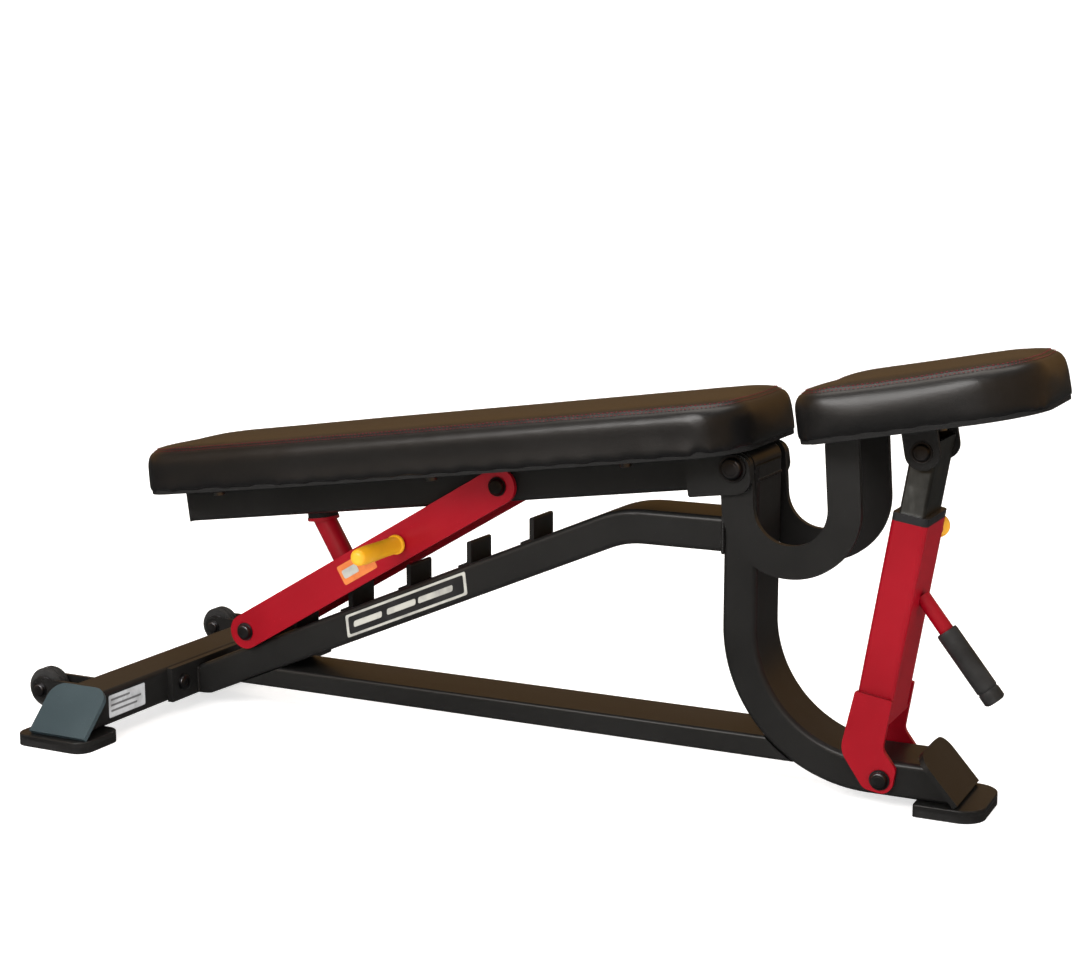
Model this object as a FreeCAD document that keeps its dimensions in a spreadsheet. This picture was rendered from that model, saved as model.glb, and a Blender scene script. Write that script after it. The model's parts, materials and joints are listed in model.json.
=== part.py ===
"""Adjustable weight bench with a ladder back rest, a tilting seat and a telescopic seat strut.

Frame: +X from the head end towards the seat, +Y to the side away from the carry grips, +Z up.
The origin lies on the floor, under the middle of the bench.  Sizes are in millimetres, angles in degrees.
"""
import FreeCAD
import Part
import math
import os
import re
import Sketcher
from FreeCAD import Vector

doc = FreeCAD.newDocument("WeightBench")

# ---------------------------------------------------------------- driving sizes
SIZES = [
    ("Main frame", [
        ("pivot_x", 276.2, "main hinge, ahead of the origin"),
        ("pivot_z", 368, "main hinge above the floor"),
        ("tube_wide", 80, "main tube, across the bench"),
        ("tube_high", 40, "main tube, in the side view"),
        ("tube_wall", 3, "main tube wall"),
        ("tube_corner", 6, "outside corner radius of the main tube"),
        ("bend_radius", 152, "centre line of the curved upright"),
        ("front_reach", 250, "hinge to the floor line of the front end plate"),
        ("front_slope", 48.7, "front end plate, from the floor"),
        ("spine_drop", 80, "hinge to the centre line of the level spine"),
        ("spine_knee", 143, "hinge to the knee of the spine"),
        ("spine_end_rise", 14.27, "underside of the crossbar to the sloping spine's centre line, at the flange"),
        ("knee_radius", 120, "centre line of the spine's knee"),
        ("lower_high", 26, "lower spine, height"),
        ("lower_z", 37, "underside of the lower spine above the floor"),
        ("lower_wall", 2.5, "lower spine wall"),
    ]),
    ("Rear crossbar and feet", [
        ("crossbar_x", 750, "hinge to the crossbar's front face"),
        ("crossbar_deep", 60, "crossbar, front to back"),
        ("crossbar_high", 44, "crossbar height"),
        ("crossbar_z", 17, "underside of the crossbar above the floor"),
        ("crossbar_half", 266, "half length at the underside"),
        ("end_plate_wide", 84, "inclined end plates, front to back"),
        ("end_plate_thick", 6, "inclined end plates"),
        ("end_plate_radius", 20, "upper corners of the end plates"),
        ("rear_foot_long", 106, "rear foot, front to back"),
        ("rear_foot_wide", 74, "rear foot, side to side"),
        ("front_foot_long", 74, "front foot, front to back"),
        ("front_foot_wide", 104, "front foot, side to side"),
        ("front_plate_wide", 98, "front end plate, side to side"),
        ("foot_radius", 18, "corner radius of the feet"),
        ("foot_plate_thick", 6, "steel foot plates"),
        ("foot_pad_thick", 8, "rubber under the feet"),
        ("flange_wide", 190, "spine flange, side to side"),
        ("flange_thick", 8, "spine flange"),
        ("flange_bolt_half", 73, "flange bolts from the middle"),
        ("wheel_radius", 25, "transport wheel"),
        ("wheel_wide", 24, "transport wheel tread"),
        ("wheel_half", 182, "wheel centres from the middle"),
        ("wheel_back", 56, "wheel centre behind the crossbar"),
        ("wheel_z", 45, "wheel centre above the floor"),
        ("wheel_axle_radius", 5, "wheel bolt"),
        ("bracket_thick", 5, "wheel bracket ears"),
        ("bracket_radius", 14, "round end of the wheel bracket ears"),
    ]),
    ("Ladder", [
        ("catch_count", 5, "catch plates on the spine"),
        ("catch_first", 262, "hinge to the highest catch"),
        ("catch_step", 84, "between catches"),
        ("catch_wide", 52, "catch, across the bench"),
        ("catch_tall", 26, "catch above the spine"),
        ("catch_thick", 6, "catch plate"),
        ("rest_long", 46, "rubber rest under the ladder pin, along the spine"),
        ("rest_wide", 60, "rubber rest, across the bench"),
    ]),
    ("Hinge", [
        ("hub_radius", 17.2, "hinge hub"),
        ("hub_half", 44, "half length of the hinge hub"),
        ("hub_wall", 4.2, "hinge hub wall"),
        ("bush_wall", 3, "hinge bush"),
        ("bush_flange", 3, "flange of the hinge bush"),
        ("pin_radius", 8, "main hinge bolt"),
        ("running_gap", 0.05, "radial gap of a turning fit"),
        ("side_gap", 0.4, "gap between plates that slide past each other"),
        ("bolt_radius", 6, "other hinge bolts"),
    ]),
    ("Back rest", [
        ("back_angle", 7.7, "back rest below level, head end down"),
        ("back_drop", 4.8, "hinge to the centre line of the back tube"),
        ("back_head", 755, "hinge to the head end of the back tube"),
        ("back_tail", 56, "hinge to the near end of the back tube"),
        ("cross_bar_thick", 4, "flat bars under the back board"),
        ("cross_bar_deep", 34, "flat bars, along the bench"),
        ("cross_bar_half", 84, "flat bars, half width"),
        ("back_tip", 794, "hinge to the head end of the back pad"),
        ("back_hip", 31, "back pad ahead of the hinge"),
        ("back_half", 122, "back pad half width at the hips"),
        ("back_head_half", 106, "back pad half width at the head"),
        ("back_taper", 250, "length over which the back pad narrows"),
        ("pad_corner", 62, "back pad corner radius"),
        ("board_thick", 12, "plywood boards"),
        ("board_inset", 5, "boards inside the cushion's outline"),
        ("cushion_thick", 46, "foam and cover above the boards"),
        ("cushion_edge", 20, "rounding of the cushion's upper edge"),
        ("yoke_thick", 8, "yoke plate across the near end of the back tube"),
        ("hinge_plate_thick", 6, "hinge plates of the back rest"),
        ("hinge_plate_half", 66.6, "outside of the hinge plates from the middle"),
        ("hinge_plate_nose", 19, "rounding of the hinge plates about the hinge"),
    ]),
    ("Ladder link", [
        ("link_length", 420.5, "between the link's two axes"),
        ("link_pivot", 301.3, "main hinge to the link hinge, along the back tube"),
        ("link_radius", 22, "half width of the link plates"),
        ("link_thick", 6, "link plates"),
        ("link_half", 49.4, "outside of the link plates from the middle"),
        ("link_pin_rise", 19, "ladder pin axis above the spine"),
        ("ladder_roller_radius", 13, "sleeve on the ladder pin"),
        ("web_thick", 5, "web between the link plates"),
        ("web_start", 34, "ladder pin to the start of the web"),
        ("web_long", 262, "length of the web"),
        ("stub_place", 152, "ladder pin to the bumper post"),
        ("stub_radius", 14, "bumper post"),
        ("bumper_radius", 20, "rubber bumper"),
        ("bumper_thick", 8, "rubber bumper"),
        ("peg_place", 262.6, "ladder pin to the hand peg"),
        ("peg_radius", 7, "steel hand peg"),
        ("peg_grip_radius", 12, "grip on the hand peg"),
        ("peg_grip_long", 96, "grip on the hand peg"),
    ]),
    ("Seat", [
        ("seat_angle", 10.5, "seat above level, front end up"),
        ("seat_lift", 19.2, "hinge to the underside of the seat board"),
        ("seat_rear", 80, "hinge to the rear end of the seat pad"),
        ("seat_front", 350, "hinge to the front end of the seat pad"),
        ("seat_half", 120, "seat pad half width"),
        ("seat_rear_corner", 50, "rear corner radius of the seat pad"),
        ("seat_front_corner", 78, "front corner radius of the seat pad"),
        ("jaw_angle", 4, "lean of the seat's side plates"),
        ("jaw_wide", 37, "width of the seat's side plates"),
        ("jaw_centre", 61, "hinge to the middle of the side plates' bend"),
        ("jaw_depth", 44, "hinge to the centre of the side plates' bend"),
        ("jaw_inner", 42, "inside radius of the side plates' bend"),
        ("jaw_top", 17, "hinge to the top of the side plates"),
        ("jaw_thick", 8, "side plates"),
        ("jaw_half", 60.2, "outside of the side plates from the middle"),
        ("mount_plate_thick", 5, "steel plate under the seat board"),
        ("mount_plate_rear", 88, "hinge to the rear edge of the mount plate"),
        ("mount_plate_front", 236, "hinge to the front edge of the mount plate"),
        ("ear_x", 203.7, "hinge to the strut's upper bolt, along the seat"),
        ("ear_drop", 9.3, "strut's upper bolt below the hinge, square to the seat"),
        ("ear_radius", 19, "round end of the strut ears"),
        ("ear_thick", 6, "strut ears"),
        ("ear_half", 44, "outside of the strut ears from the middle"),
    ]),
    ("Seat strut", [
        ("strut_foot", 168, "main hinge to the strut's lower bolt"),
        ("strut_lean", 9.2, "strut tube from upright"),
        ("outer_wide", 81, "outer strut tube, across the bench"),
        ("outer_high", 40, "outer strut tube, in the side view"),
        ("outer_wall", 3, "outer strut tube wall"),
        ("outer_bottom", 64, "lower bolt to the bottom of the outer tube"),
        ("outer_top", 284, "lower bolt to the top of the outer tube"),
        ("fork_thick", 6, "fork ears"),
        ("sleeve_gap", 0.3, "gap all round the inner strut tube"),
        ("inner_wide", 70, "inner strut tube, across the bench"),
        ("inner_high", 29, "inner strut tube, in the side view"),
        ("inner_wall", 2.5, "inner strut tube wall"),
        ("inner_bottom", 150, "lower bolt to the bottom of the inner tube"),
        ("inner_over", 14, "inner tube beyond the upper bolt"),
        ("collar_rise", 9, "plastic collar above the outer tube"),
        ("collar_skirt", 24, "plastic collar inside the outer tube"),
        ("ear_play", 0.6, "radial gap of the inner tube about the upper bolt"),
        ("pull_pin_z", 264, "lower bolt to the pull pin"),
        ("pull_pin_radius", 4, "pull pin"),
        ("pin_step", 35, "between the inner tube's adjusting holes"),
        ("pull_knob_radius", 13.5, "ball on the pull pin"),
        ("carry_z", 201, "lower bolt to the carry handle"),
        ("carry_angle", 43, "carry handle below square to the strut"),
        ("carry_rod_radius", 8.5, "carry handle rod"),
        ("carry_rod_long", 134, "carry handle rod"),
        ("carry_grip_radius", 12, "carry handle grip"),
        ("carry_grip_long", 92, "carry handle grip"),
    ]),
]

sheet = doc.addObject("Spreadsheet::Sheet", "Sizes")
OWNER = {}


def fill_sheet():
    """Write every driving size to its own cell, under its own alias."""
    row = 1
    for title, entries in SIZES:
        sheet.set(f"A{row}", title)
        row += 1
        for alias, number, meaning in entries:
            sheet.set(f"A{row}", meaning)
            sheet.set(f"B{row}", str(number))
            sheet.setAlias(f"B{row}", alias)
            OWNER[alias] = "Sizes."
            row += 1


fill_sheet()
doc.recompute()
layout = doc.addObject("App::VarSet", "Layout")


def named(text):
    """Put the owner's name before each size or derived value in an expression."""
    return re.sub(r"<<\w+>>|[A-Za-z_]\w*", lambda word: OWNER.get(word.group(), "") + word.group(), str(text))


def value(text):
    """The number that an expression gives now."""
    result = sheet.evalExpression(named(text))
    return float(getattr(result, "Value", result))


def derive(name, text):
    """A number worked out from the driving sizes."""
    layout.addProperty("App::PropertyFloat", name, "Derived")
    layout.setExpression(name, named(text))
    OWNER[name] = "Layout."


def spot(x=0, y=0, z=0, about="y", turn=0):
    """Expression for a place, turned by an angle about one axis."""
    axis = {"x": "1; 0; 0", "y": "0; 1; 0", "z": "0; 0; 1"}[about]
    return (f"create(<<placement>>; create(<<vector>>; {x}; {y}; {z}); "
            f"create(<<rotation>>; create(<<vector>>; {axis}); {turn}))")


def derive_frame(name, text):
    """A frame that sub-parts are placed in."""
    layout.addProperty("App::PropertyPlacement", name, "Frames")
    layout.setExpression(name, named(text))
    OWNER[name] = "Layout."


# ---------------------------------------------------------------- derived places
derive("foot_stack", "foot_pad_thick + foot_plate_thick")
derive("run_z", "foot_stack + tube_high / 2")
derive("bend_z", "run_z + bend_radius")
derive("bend_x", "pivot_x + bend_radius")
derive("spine_z", "pivot_z - spine_drop")
derive("knee_x", "pivot_x - spine_knee")
derive("crossbar_front", "pivot_x - crossbar_x")
derive("spine_end_x", "crossbar_front + flange_thick")
derive("crossbar_top", "crossbar_z + crossbar_high")
derive("spine_slope", "atan((spine_z - crossbar_z - spine_end_rise) / (knee_x - spine_end_x)) / 1deg")
derive("wheel_x", "crossbar_front - crossbar_deep - wheel_back")
derive("rod_x", "pivot_x - link_pivot * cos(back_angle) + back_drop * sin(back_angle)")
derive("rod_z", "pivot_z - link_pivot * sin(back_angle) - back_drop * cos(back_angle)")
derive("link_height", "(rod_z - spine_z) * cos(spine_slope) - (rod_x - knee_x) * sin(spine_slope)"
                      " - tube_high / 2 - link_pin_rise")
derive("link_angle", "spine_slope + asin(link_height / link_length) / 1deg")
derive("fold_angle", "link_angle - back_angle")
derive("pin_x", "rod_x - link_length * cos(link_angle)")
derive("pin_z", "rod_z - link_length * sin(link_angle)")
derive("rest_place", "(pin_x - knee_x) * cos(spine_slope) + (pin_z - spine_z) * sin(spine_slope)")
derive("ear_world_x", "pivot_x + ear_x * cos(seat_angle) + ear_drop * sin(seat_angle)")
derive("ear_world_z", "pivot_z + ear_x * sin(seat_angle) - ear_drop * cos(seat_angle)")
derive("strut_x", "pivot_x + strut_foot")
derive("strut_axis", "(ear_world_x - strut_x) * cos(strut_lean) - (ear_world_z - run_z) * sin(strut_lean)")
derive("strut_long", "(ear_world_x - strut_x) * sin(strut_lean) + (ear_world_z - run_z) * cos(strut_lean)")
derive("bumper_touch", "(link_length - stub_place) * tan(fold_angle) - tube_high / 2 / cos(fold_angle)")
derive("bumper_base", "bumper_touch - (bumper_thick + side_gap) / cos(fold_angle)")

derive_frame("ground", spot())
derive_frame("hinge", spot("pivot_x", 0, "pivot_z"))
derive_frame("back", spot("pivot_x", 0, "pivot_z", "y", "0 - back_angle"))
derive_frame("seat", spot("pivot_x", 0, "pivot_z", "y", "0 - seat_angle"))
derive_frame("jaw", spot("pivot_x", 0, "pivot_z", "y", "0 - jaw_angle"))
derive_frame("link", spot("rod_x", 0, "rod_z", "y", "0 - link_angle"))
derive_frame("strut", spot("strut_x", 0, "run_z", "y", "strut_lean"))
doc.recompute()


# ---------------------------------------------------------------- building blocks
def bind(item, **texts):
    """Bind properties of an object to expressions."""
    for prop, text in texts.items():
        item.setExpression(prop, named(text))


def place(item, frame, *where, **turned):
    """Put an object in a frame."""
    bind(item, Placement=frame + " * " + spot(*where, **turned))


def box(name, frame, x, y, z, length, width, height):
    """Block from a corner at x, y, z of a frame."""
    block = doc.addObject("Part::Box", name)
    bind(block, Length=length, Width=width, Height=height)
    place(block, frame, x, y, z)
    return block


def rod(name, frame, x, y, z, radius, length, about="x", turn=-90):
    """Cylinder from x, y, z of a frame, along +Y unless it is turned another way."""
    cylinder = doc.addObject("Part::Cylinder", name)
    bind(cylinder, Radius=radius, Height=length)
    place(cylinder, frame, x, y, z, about, turn)
    return cylinder


def cross_rod(name, frame, x, z, radius, half):
    """Cylinder across the bench, even on both sides."""
    return rod(name, frame, x, f"0 - ({half})", z, radius, f"2 * ({half})")


def fuse(name, *items):
    """One solid, or a group of separate solids, from several."""
    union = doc.addObject("Part::MultiFuse", name)
    union.Shapes = list(items)
    return union


def cut(name, base, *tools):
    """The base without the tools."""
    result = doc.addObject("Part::Cut", name)
    result.Base = base
    result.Tool = tools[0] if len(tools) == 1 else fuse(name + "_tools", *tools)
    return result


def origin_plane(body, role):
    """One of a body's own origin planes."""
    return next(feature for feature in body.Origin.OriginFeatures if feature.Role == role)


def new_sketch(body, role, suffix="outline", lift=0):
    """Sketch on an origin plane of a body, lifted along the plane's normal."""
    drawing = body.newObject("Sketcher::SketchObject", f"{body.Name}_{suffix}")
    drawing.AttachmentSupport = (origin_plane(body, role), [""])
    drawing.MapMode = "FlatFace"
    drawing.setExpression("AttachmentOffset.Base.z", named(lift))
    return drawing


def hold(drawing, kind, *args, by=None):
    """Add a constraint, driven by an expression where it has a size."""
    numbers = args if by is None else args + (value(by),)
    index = drawing.addConstraint(Sketcher.Constraint(kind, *numbers))
    if by is not None:
        drawing.setExpression(f"Constraints[{index}]", named(by))


def marker(drawing, x, z):
    """Construction point at a given place."""
    point = drawing.addGeometry(Part.Point(Vector(value(x), value(z), 0)), True)
    hold(drawing, "DistanceX", -1, 1, point, 1, by=x)
    hold(drawing, "DistanceY", -1, 1, point, 1, by=z)
    return point


def corner_arc(before, corner, after, radius):
    """Arc that rounds a corner: its circle, its ends and whether it runs backwards."""
    back = (before - corner).normalize()
    ahead = (after - corner).normalize()
    half = back.getAngle(ahead) / 2
    reach = radius / math.tan(half)
    centre = corner + (back + ahead).normalize() * (radius / math.sin(half))
    ends = [corner + back * reach, corner + ahead * reach]
    clockwise = back.cross(ahead).z > 0
    first, last = reversed(ends) if clockwise else ends
    angles = [math.atan2(end.y - centre.y, end.x - centre.x) for end in (first, last)]
    circle = Part.Circle(centre, Vector(0, 0, 1), radius)
    return Part.ArcOfCircle(circle, *angles), ends, clockwise


def outline(drawing, corners, closed=True):
    """Straight edges through corners (x, z, radius), rounded where the radius isn't 0."""
    points = [Vector(value(x), value(z), 0) for x, z, radius in corners]
    count = len(corners)
    starts = {}
    arcs = {}
    for index, (x, z, radius) in enumerate(corners):
        inside = closed or 0 < index < count - 1
        if inside and value(radius) > 0:
            near = points[index - 1], points[index], points[(index + 1) % count]
            arcs[index] = corner_arc(*near, value(radius))
            starts[index] = arcs[index][1]
        else:
            starts[index] = [points[index], points[index]]
    edges = []
    for index in range(count if closed else count - 1):
        following = (index + 1) % count
        line = Part.LineSegment(starts[index][1], starts[following][0])
        edges.append(drawing.addGeometry(line))
    for index, (x, z, radius) in enumerate(corners):
        point = marker(drawing, x, z)
        before = edges[index - 1] if closed or index else None
        after = edges[index] if index < len(edges) else None
        if index in arcs:
            arc, ends, clockwise = arcs[index]
            bend = drawing.addGeometry(arc)
            first, last = (2, 1) if clockwise else (1, 2)
            hold(drawing, "Tangent", before, 2, bend, first)
            hold(drawing, "Tangent", bend, last, after, 1)
            hold(drawing, "PointOnObject", point, 1, before)
            hold(drawing, "PointOnObject", point, 1, after)
            hold(drawing, "Radius", bend, by=radius)
        else:
            for edge, end in ((before, 2), (after, 1)):
                if edge is not None:
                    hold(drawing, "Coincident", edge, end, point, 1)


def circle(drawing, x, z, radius):
    """Round hole or outline."""
    ring = drawing.addGeometry(Part.Circle(Vector(value(x), value(z), 0), Vector(0, 0, 1), value(radius)))
    point = marker(drawing, x, z)
    hold(drawing, "Coincident", ring, 3, point, 1)
    hold(drawing, "Radius", ring, by=radius)


def new_body(name):
    return doc.addObject("PartDesign::Body", name)


def plate(name, frame, corners, thick, middle=0, holes=()):
    """Upright plate in the side view, with its mid-plane at y = middle."""
    body = new_body(name)
    drawing = new_sketch(body, "XZ_Plane")
    outline(drawing, corners)
    for hole in holes:
        circle(drawing, *hole)
    pad = body.newObject("PartDesign::Pad", name + "_pad")
    pad.Profile = drawing
    pad.Midplane = True
    bind(pad, Length=thick)
    place(body, frame, 0, middle, 0)
    return body


def slab(name, frame, corners, thick, lift, edge=0):
    """Flat plate seen from above, with its upper edge rounded where edge isn't 0."""
    body = new_body(name)
    drawing = new_sketch(body, "XY_Plane")
    outline(drawing, corners)
    pad = body.newObject("PartDesign::Pad", name + "_pad")
    pad.Profile = drawing
    bind(pad, Length=thick)
    if value(edge) > 0:
        doc.recompute()
        top = max(range(len(pad.Shape.Faces)), key=lambda index: pad.Shape.Faces[index].CenterOfMass.z)
        fillet = body.newObject("PartDesign::Fillet", name + "_edge")
        fillet.Base = (pad, [f"Face{top + 1}"])
        bind(fillet, Radius=edge)
    place(body, frame, 0, 0, lift)
    return body


def rectangle(x0, x1, z0, z1, radius=0):
    """Four corners of a rectangle with one corner radius."""
    return [(x0, z0, radius), (x1, z0, radius), (x1, z1, radius), (x0, z1, radius)]


def section(drawing, high, wide, wall, corner):
    """Hollow rectangular tube, centred: high along the sketch's x, wide along its y."""
    for inset in ("0", wall):
        half_high = f"({high}) / 2 - {inset}"
        half_wide = f"({wide}) / 2 - {inset}"
        outline(drawing, rectangle(f"0 - ({half_high})", half_high, f"0 - ({half_wide})", half_wide,
                                   f"{corner} - {inset}"))


def straight_tube(name, frame, x, z, length, high, wide, wall, corner, turn=90):
    """Hollow tube from x, z of a frame, along +X unless it is turned another way."""
    body = new_body(name)
    drawing = new_sketch(body, "XY_Plane")
    section(drawing, high, wide, wall, corner)
    pad = body.newObject("PartDesign::Pad", name + "_pad")
    pad.Profile = drawing
    bind(pad, Length=length)
    place(body, frame, x, 0, z, "y", turn)
    return body


def bent_tube(name, x, z, route, role, high, wide):
    """Hollow main tube from x, z along a route in the side view; its section starts on an origin plane."""
    body = new_body(name)
    path = new_sketch(body, "XZ_Plane", "route")
    outline(path, [(0, 0, 0)] + route, closed=False)
    drawing = new_sketch(body, role, "section")
    section(drawing, high, wide, "tube_wall", "tube_corner")
    pipe = body.newObject("PartDesign::AdditivePipe", name + "_pipe")
    pipe.Profile = drawing
    pipe.Spine = path
    pipe.Mode = "Frenet"
    place(body, "ground", x, 0, z)
    return body


def turned(name, frame, x, y, z, profile, about="x", turn=-90):
    """Round piece from a profile of (radius, distance, rounding), along +Y unless turned another way."""
    body = new_body(name)
    drawing = new_sketch(body, "XZ_Plane")
    outline(drawing, profile)
    spin = body.newObject("PartDesign::Revolution", name + "_spin")
    spin.Profile = drawing
    spin.ReferenceAxis = (drawing, ["V_Axis"])
    spin.Angle = 360
    place(body, frame, x, y, z, about, turn)
    return body


def hexagon(name, frame, x, y, z, across, thick):
    """Hexagon head or nut, with its axis across the bench."""
    head = doc.addObject("Part::Prism", name)
    head.Polygon = 6
    bind(head, Circumradius=across, Height=thick)
    place(head, frame, x, y, z, "x", -90)
    return head


def through_bolt(name, frame, x, z, radius, half, y="0"):
    """Bolt across the bench with a round head, a washer at each side and a hexagon nut."""
    near = f"{y} - ({half})"
    washer = f"({radius}) / 4"
    pieces = [
        rod(name + "_shank", frame, x, f"{near} - {washer}", z, radius, f"2 * ({half}) + 3 * ({radius}) / 2"),
        rod(name + "_washer", frame, x, f"{near} - {washer}", z, f"1.9 * {radius}", washer),
        rod(name + "_far_washer", frame, x, f"{y} + {half}", z, f"1.9 * {radius}", washer),
        turned(name + "_head", frame, x, f"{near} - {washer}", z,
               [("0", "0", 0), ("0", f"0 - 0.75 * {radius}", 0),
                (f"1.5 * {radius}", f"0 - 0.75 * {radius}", f"0.35 * {radius}"), (f"1.5 * {radius}", "0", 0)]),
        hexagon(name + "_nut", frame, x, f"{y} + {half} + {washer}", z, f"1.7 * {radius}", f"0.9 * {radius}"),
    ]
    return fuse(name, *pieces)


NODES = {}


def keep(item, label=None):
    """Mark an object as a finished sub-part."""
    label = label or item.Name
    item.Label = label
    NODES[label] = item
    return item


SIDES = (("near", -1), ("far", 1))


# ---------------------------------------------------------------- main frame
def build_upright():
    """Curved upright, cut to the hinge hub above and to the front end plate below."""
    route = [(0, "run_z - pivot_z", "bend_radius"), ("front_reach", "run_z - pivot_z", 0)]
    tube = bent_tube("upright_blank", "pivot_x", "pivot_z", route, "XY_Plane", "tube_high", "tube_wide")
    hub = cross_rod("upright_hub_cut", "hinge", 0, 0, "hub_radius", "tube_wide")
    front = box("upright_front_cut", "front_end", "0", "0 - tube_wide", "0", "tube_wide", "2 * tube_wide",
                "2 * tube_wide")
    foot_bolt = cross_rod("upright_foot_bolt_hole", "ground", "strut_x", "run_z", "bolt_radius", "tube_wide")
    keep(cut("upright_tube", tube, hub, front, foot_bolt))


def build_front_foot():
    """Inclined end plate, steel foot plate and its rubber."""
    half = "front_plate_wide / 2"
    long = "tube_high / sin(front_slope) + 12"
    body = new_body("front_end_plate")
    drawing = new_sketch(body, "YZ_Plane")
    outline(drawing, [(f"0 - {half}", "0", 0), (half, "0", 0), (half, long, "end_plate_radius"),
                      (f"0 - {half}", long, "end_plate_radius")])
    pad = body.newObject("PartDesign::Pad", "front_end_plate_pad")
    pad.Profile = drawing
    bind(pad, Length="end_plate_thick")
    place(body, "front_end")
    keep(body)
    rear = "pivot_x + front_reach - front_foot_long + 30"
    front = f"{rear} + front_foot_long"
    wide = "front_foot_wide / 2"
    shape = [(rear, f"0 - {wide}", 4), (front, f"0 - {wide}", "foot_radius + 8"),
             (front, wide, "foot_radius + 8"), (rear, wide, 4)]
    keep(slab("front_foot_plate", "ground", shape, "foot_plate_thick", "foot_pad_thick", 1.5))
    keep(slab("front_foot_rubber", "ground", shape, "foot_pad_thick", 0))


def build_spines():
    """Upper spine with its knee, and the lower spine between the upper spine and the upright."""
    level = "(tube_high / 2 - spine_knee)"
    down = "(knee_x - spine_end_x + tube_high)"
    route = [(level, 0, "knee_radius"), (f"{level} - {down}", f"0 - {down} * tan(spine_slope)", 0)]
    tube = bent_tube("upper_spine_blank", "pivot_x - tube_high / 2", "spine_z", route, "YZ_Plane",
                     "tube_wide", "tube_high")
    behind = box("upper_spine_flange_cut", "ground", "spine_end_x - 200", "0 - tube_wide", "0 - 200", 200,
                 "2 * tube_wide", 400)
    below = box("upper_spine_floor_cut", "ground", "spine_end_x - 10", "0 - tube_wide", "crossbar_z - 200", 200,
                "2 * tube_wide", 200)
    keep(cut("upper_spine_tube", tube, behind, below))
    start = "(spine_end_x + 60)"
    lower = straight_tube("lower_spine_blank", "ground", start, "lower_z + lower_high / 2",
                          f"bend_x - {start}", "lower_high", "tube_wide", "lower_wall", "tube_corner / 2 + 1")
    bend = cross_rod("lower_spine_bend_cut", "ground", "bend_x", "bend_z", "bend_radius + tube_high / 2",
                     "tube_wide")
    spine = box("lower_spine_top_cut", "slope", "0 - 800", "0 - tube_wide", "0 - tube_high / 2", 1000,
                "2 * tube_wide", 200)
    keep(cut("lower_spine_tube", lower, bend, spine))


def build_crossbar():
    """Rear crossbar with mitred ends, and the flange that bolts the spine to it."""
    body = new_body("crossbar_blank")
    drawing = new_sketch(body, "XZ_Plane")
    section(drawing, "crossbar_deep", "crossbar_high", "tube_wall", "tube_corner")
    pad = body.newObject("PartDesign::Pad", "crossbar_blank_pad")
    pad.Profile = drawing
    pad.Midplane = True
    bind(pad, Length="2 * crossbar_half")
    place(body, "ground", "crossbar_front - crossbar_deep / 2", 0, "crossbar_z + crossbar_high / 2")
    cuts = []
    for side, sign in SIDES:
        lift = 0 if sign < 0 else "0 - 200"
        cuts.append(box(f"crossbar_{side}_cut", f"{side}_end", "0 - crossbar_deep", "0 - 100", lift,
                        "2 * crossbar_deep", 300, 200))
    keep(cut("rear_crossbar", body, *cuts))
    half = "flange_wide / 2"
    flange = box("spine_flange_blank", "ground", "crossbar_front", f"0 - {half}", "crossbar_z",
                 "flange_thick", "flange_wide", "crossbar_high")
    holes = [rod(f"flange_{side}_hole", "ground", "crossbar_front - 1", f"{sign} * flange_bolt_half",
                 "crossbar_z + crossbar_high / 2", "bolt_radius", "flange_thick + 2", "y", 90)
             for side, sign in SIDES]
    keep(cut("spine_flange", flange, *holes))
    bolts = []
    for side, sign in SIDES:
        head = turned(f"flange_{side}_head", "ground", "crossbar_front + flange_thick", f"{sign} * flange_bolt_half",
                      "crossbar_z + crossbar_high / 2",
                      [("0", "0 - flange_thick", 0), ("bolt_radius", "0 - flange_thick", 0), ("bolt_radius", "0", 0),
                       ("1.6 * bolt_radius", "0", 0), ("1.6 * bolt_radius", "0.9 * bolt_radius", 2),
                       ("0", "0.9 * bolt_radius", 0)], "y", 90)
        bolts.append(head)
    keep(fuse("flange_bolts", *bolts))


def build_rear_feet():
    """Inclined end plates, foot plates and rubbers at both ends of the crossbar."""
    low = "(foot_stack - crossbar_z) / sin(45)"
    top = "crossbar_high / sin(45) + 3"
    ends, plates, rubbers = [], [], []
    middle = "crossbar_front - crossbar_deep / 2"
    for side, sign in SIDES:
        body = new_body(f"rear_end_plate_{side}")
        drawing = new_sketch(body, "XY_Plane")
        half = "end_plate_wide / 2"
        outline(drawing, [(f"0 - {half}", low, 0), (half, low, 0), (half, top, "end_plate_radius"),
                          (f"0 - {half}", top, "end_plate_radius")])
        pad = body.newObject("PartDesign::Pad", f"rear_end_plate_{side}_pad")
        pad.Profile = drawing
        bind(pad, Length="end_plate_thick")
        place(body, f"{side}_end", 0, 0, 0 if sign < 0 else "0 - end_plate_thick")
        ends.append(body)
        outer = "(crossbar_half + 14)"
        inner = f"({outer} - rear_foot_wide)"
        x0 = f"{middle} - rear_foot_long / 2 - 8"
        x1 = f"{middle} + rear_foot_long / 2 - 8"
        reach = (inner, outer) if sign > 0 else (f"0 - {outer}", f"0 - {inner}")
        shape = rectangle(x0, x1, *reach, "foot_radius")
        plates.append(slab(f"foot_plate_{side}", "ground", shape, "foot_plate_thick", "foot_pad_thick", 1.5))
        rubbers.append(slab(f"foot_rubber_{side}", "ground", shape, "foot_pad_thick", 0))
    keep(fuse("rear_end_plates", *ends))
    keep(fuse("rear_foot_plates", *plates))
    keep(fuse("rear_foot_rubbers", *rubbers))


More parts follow.
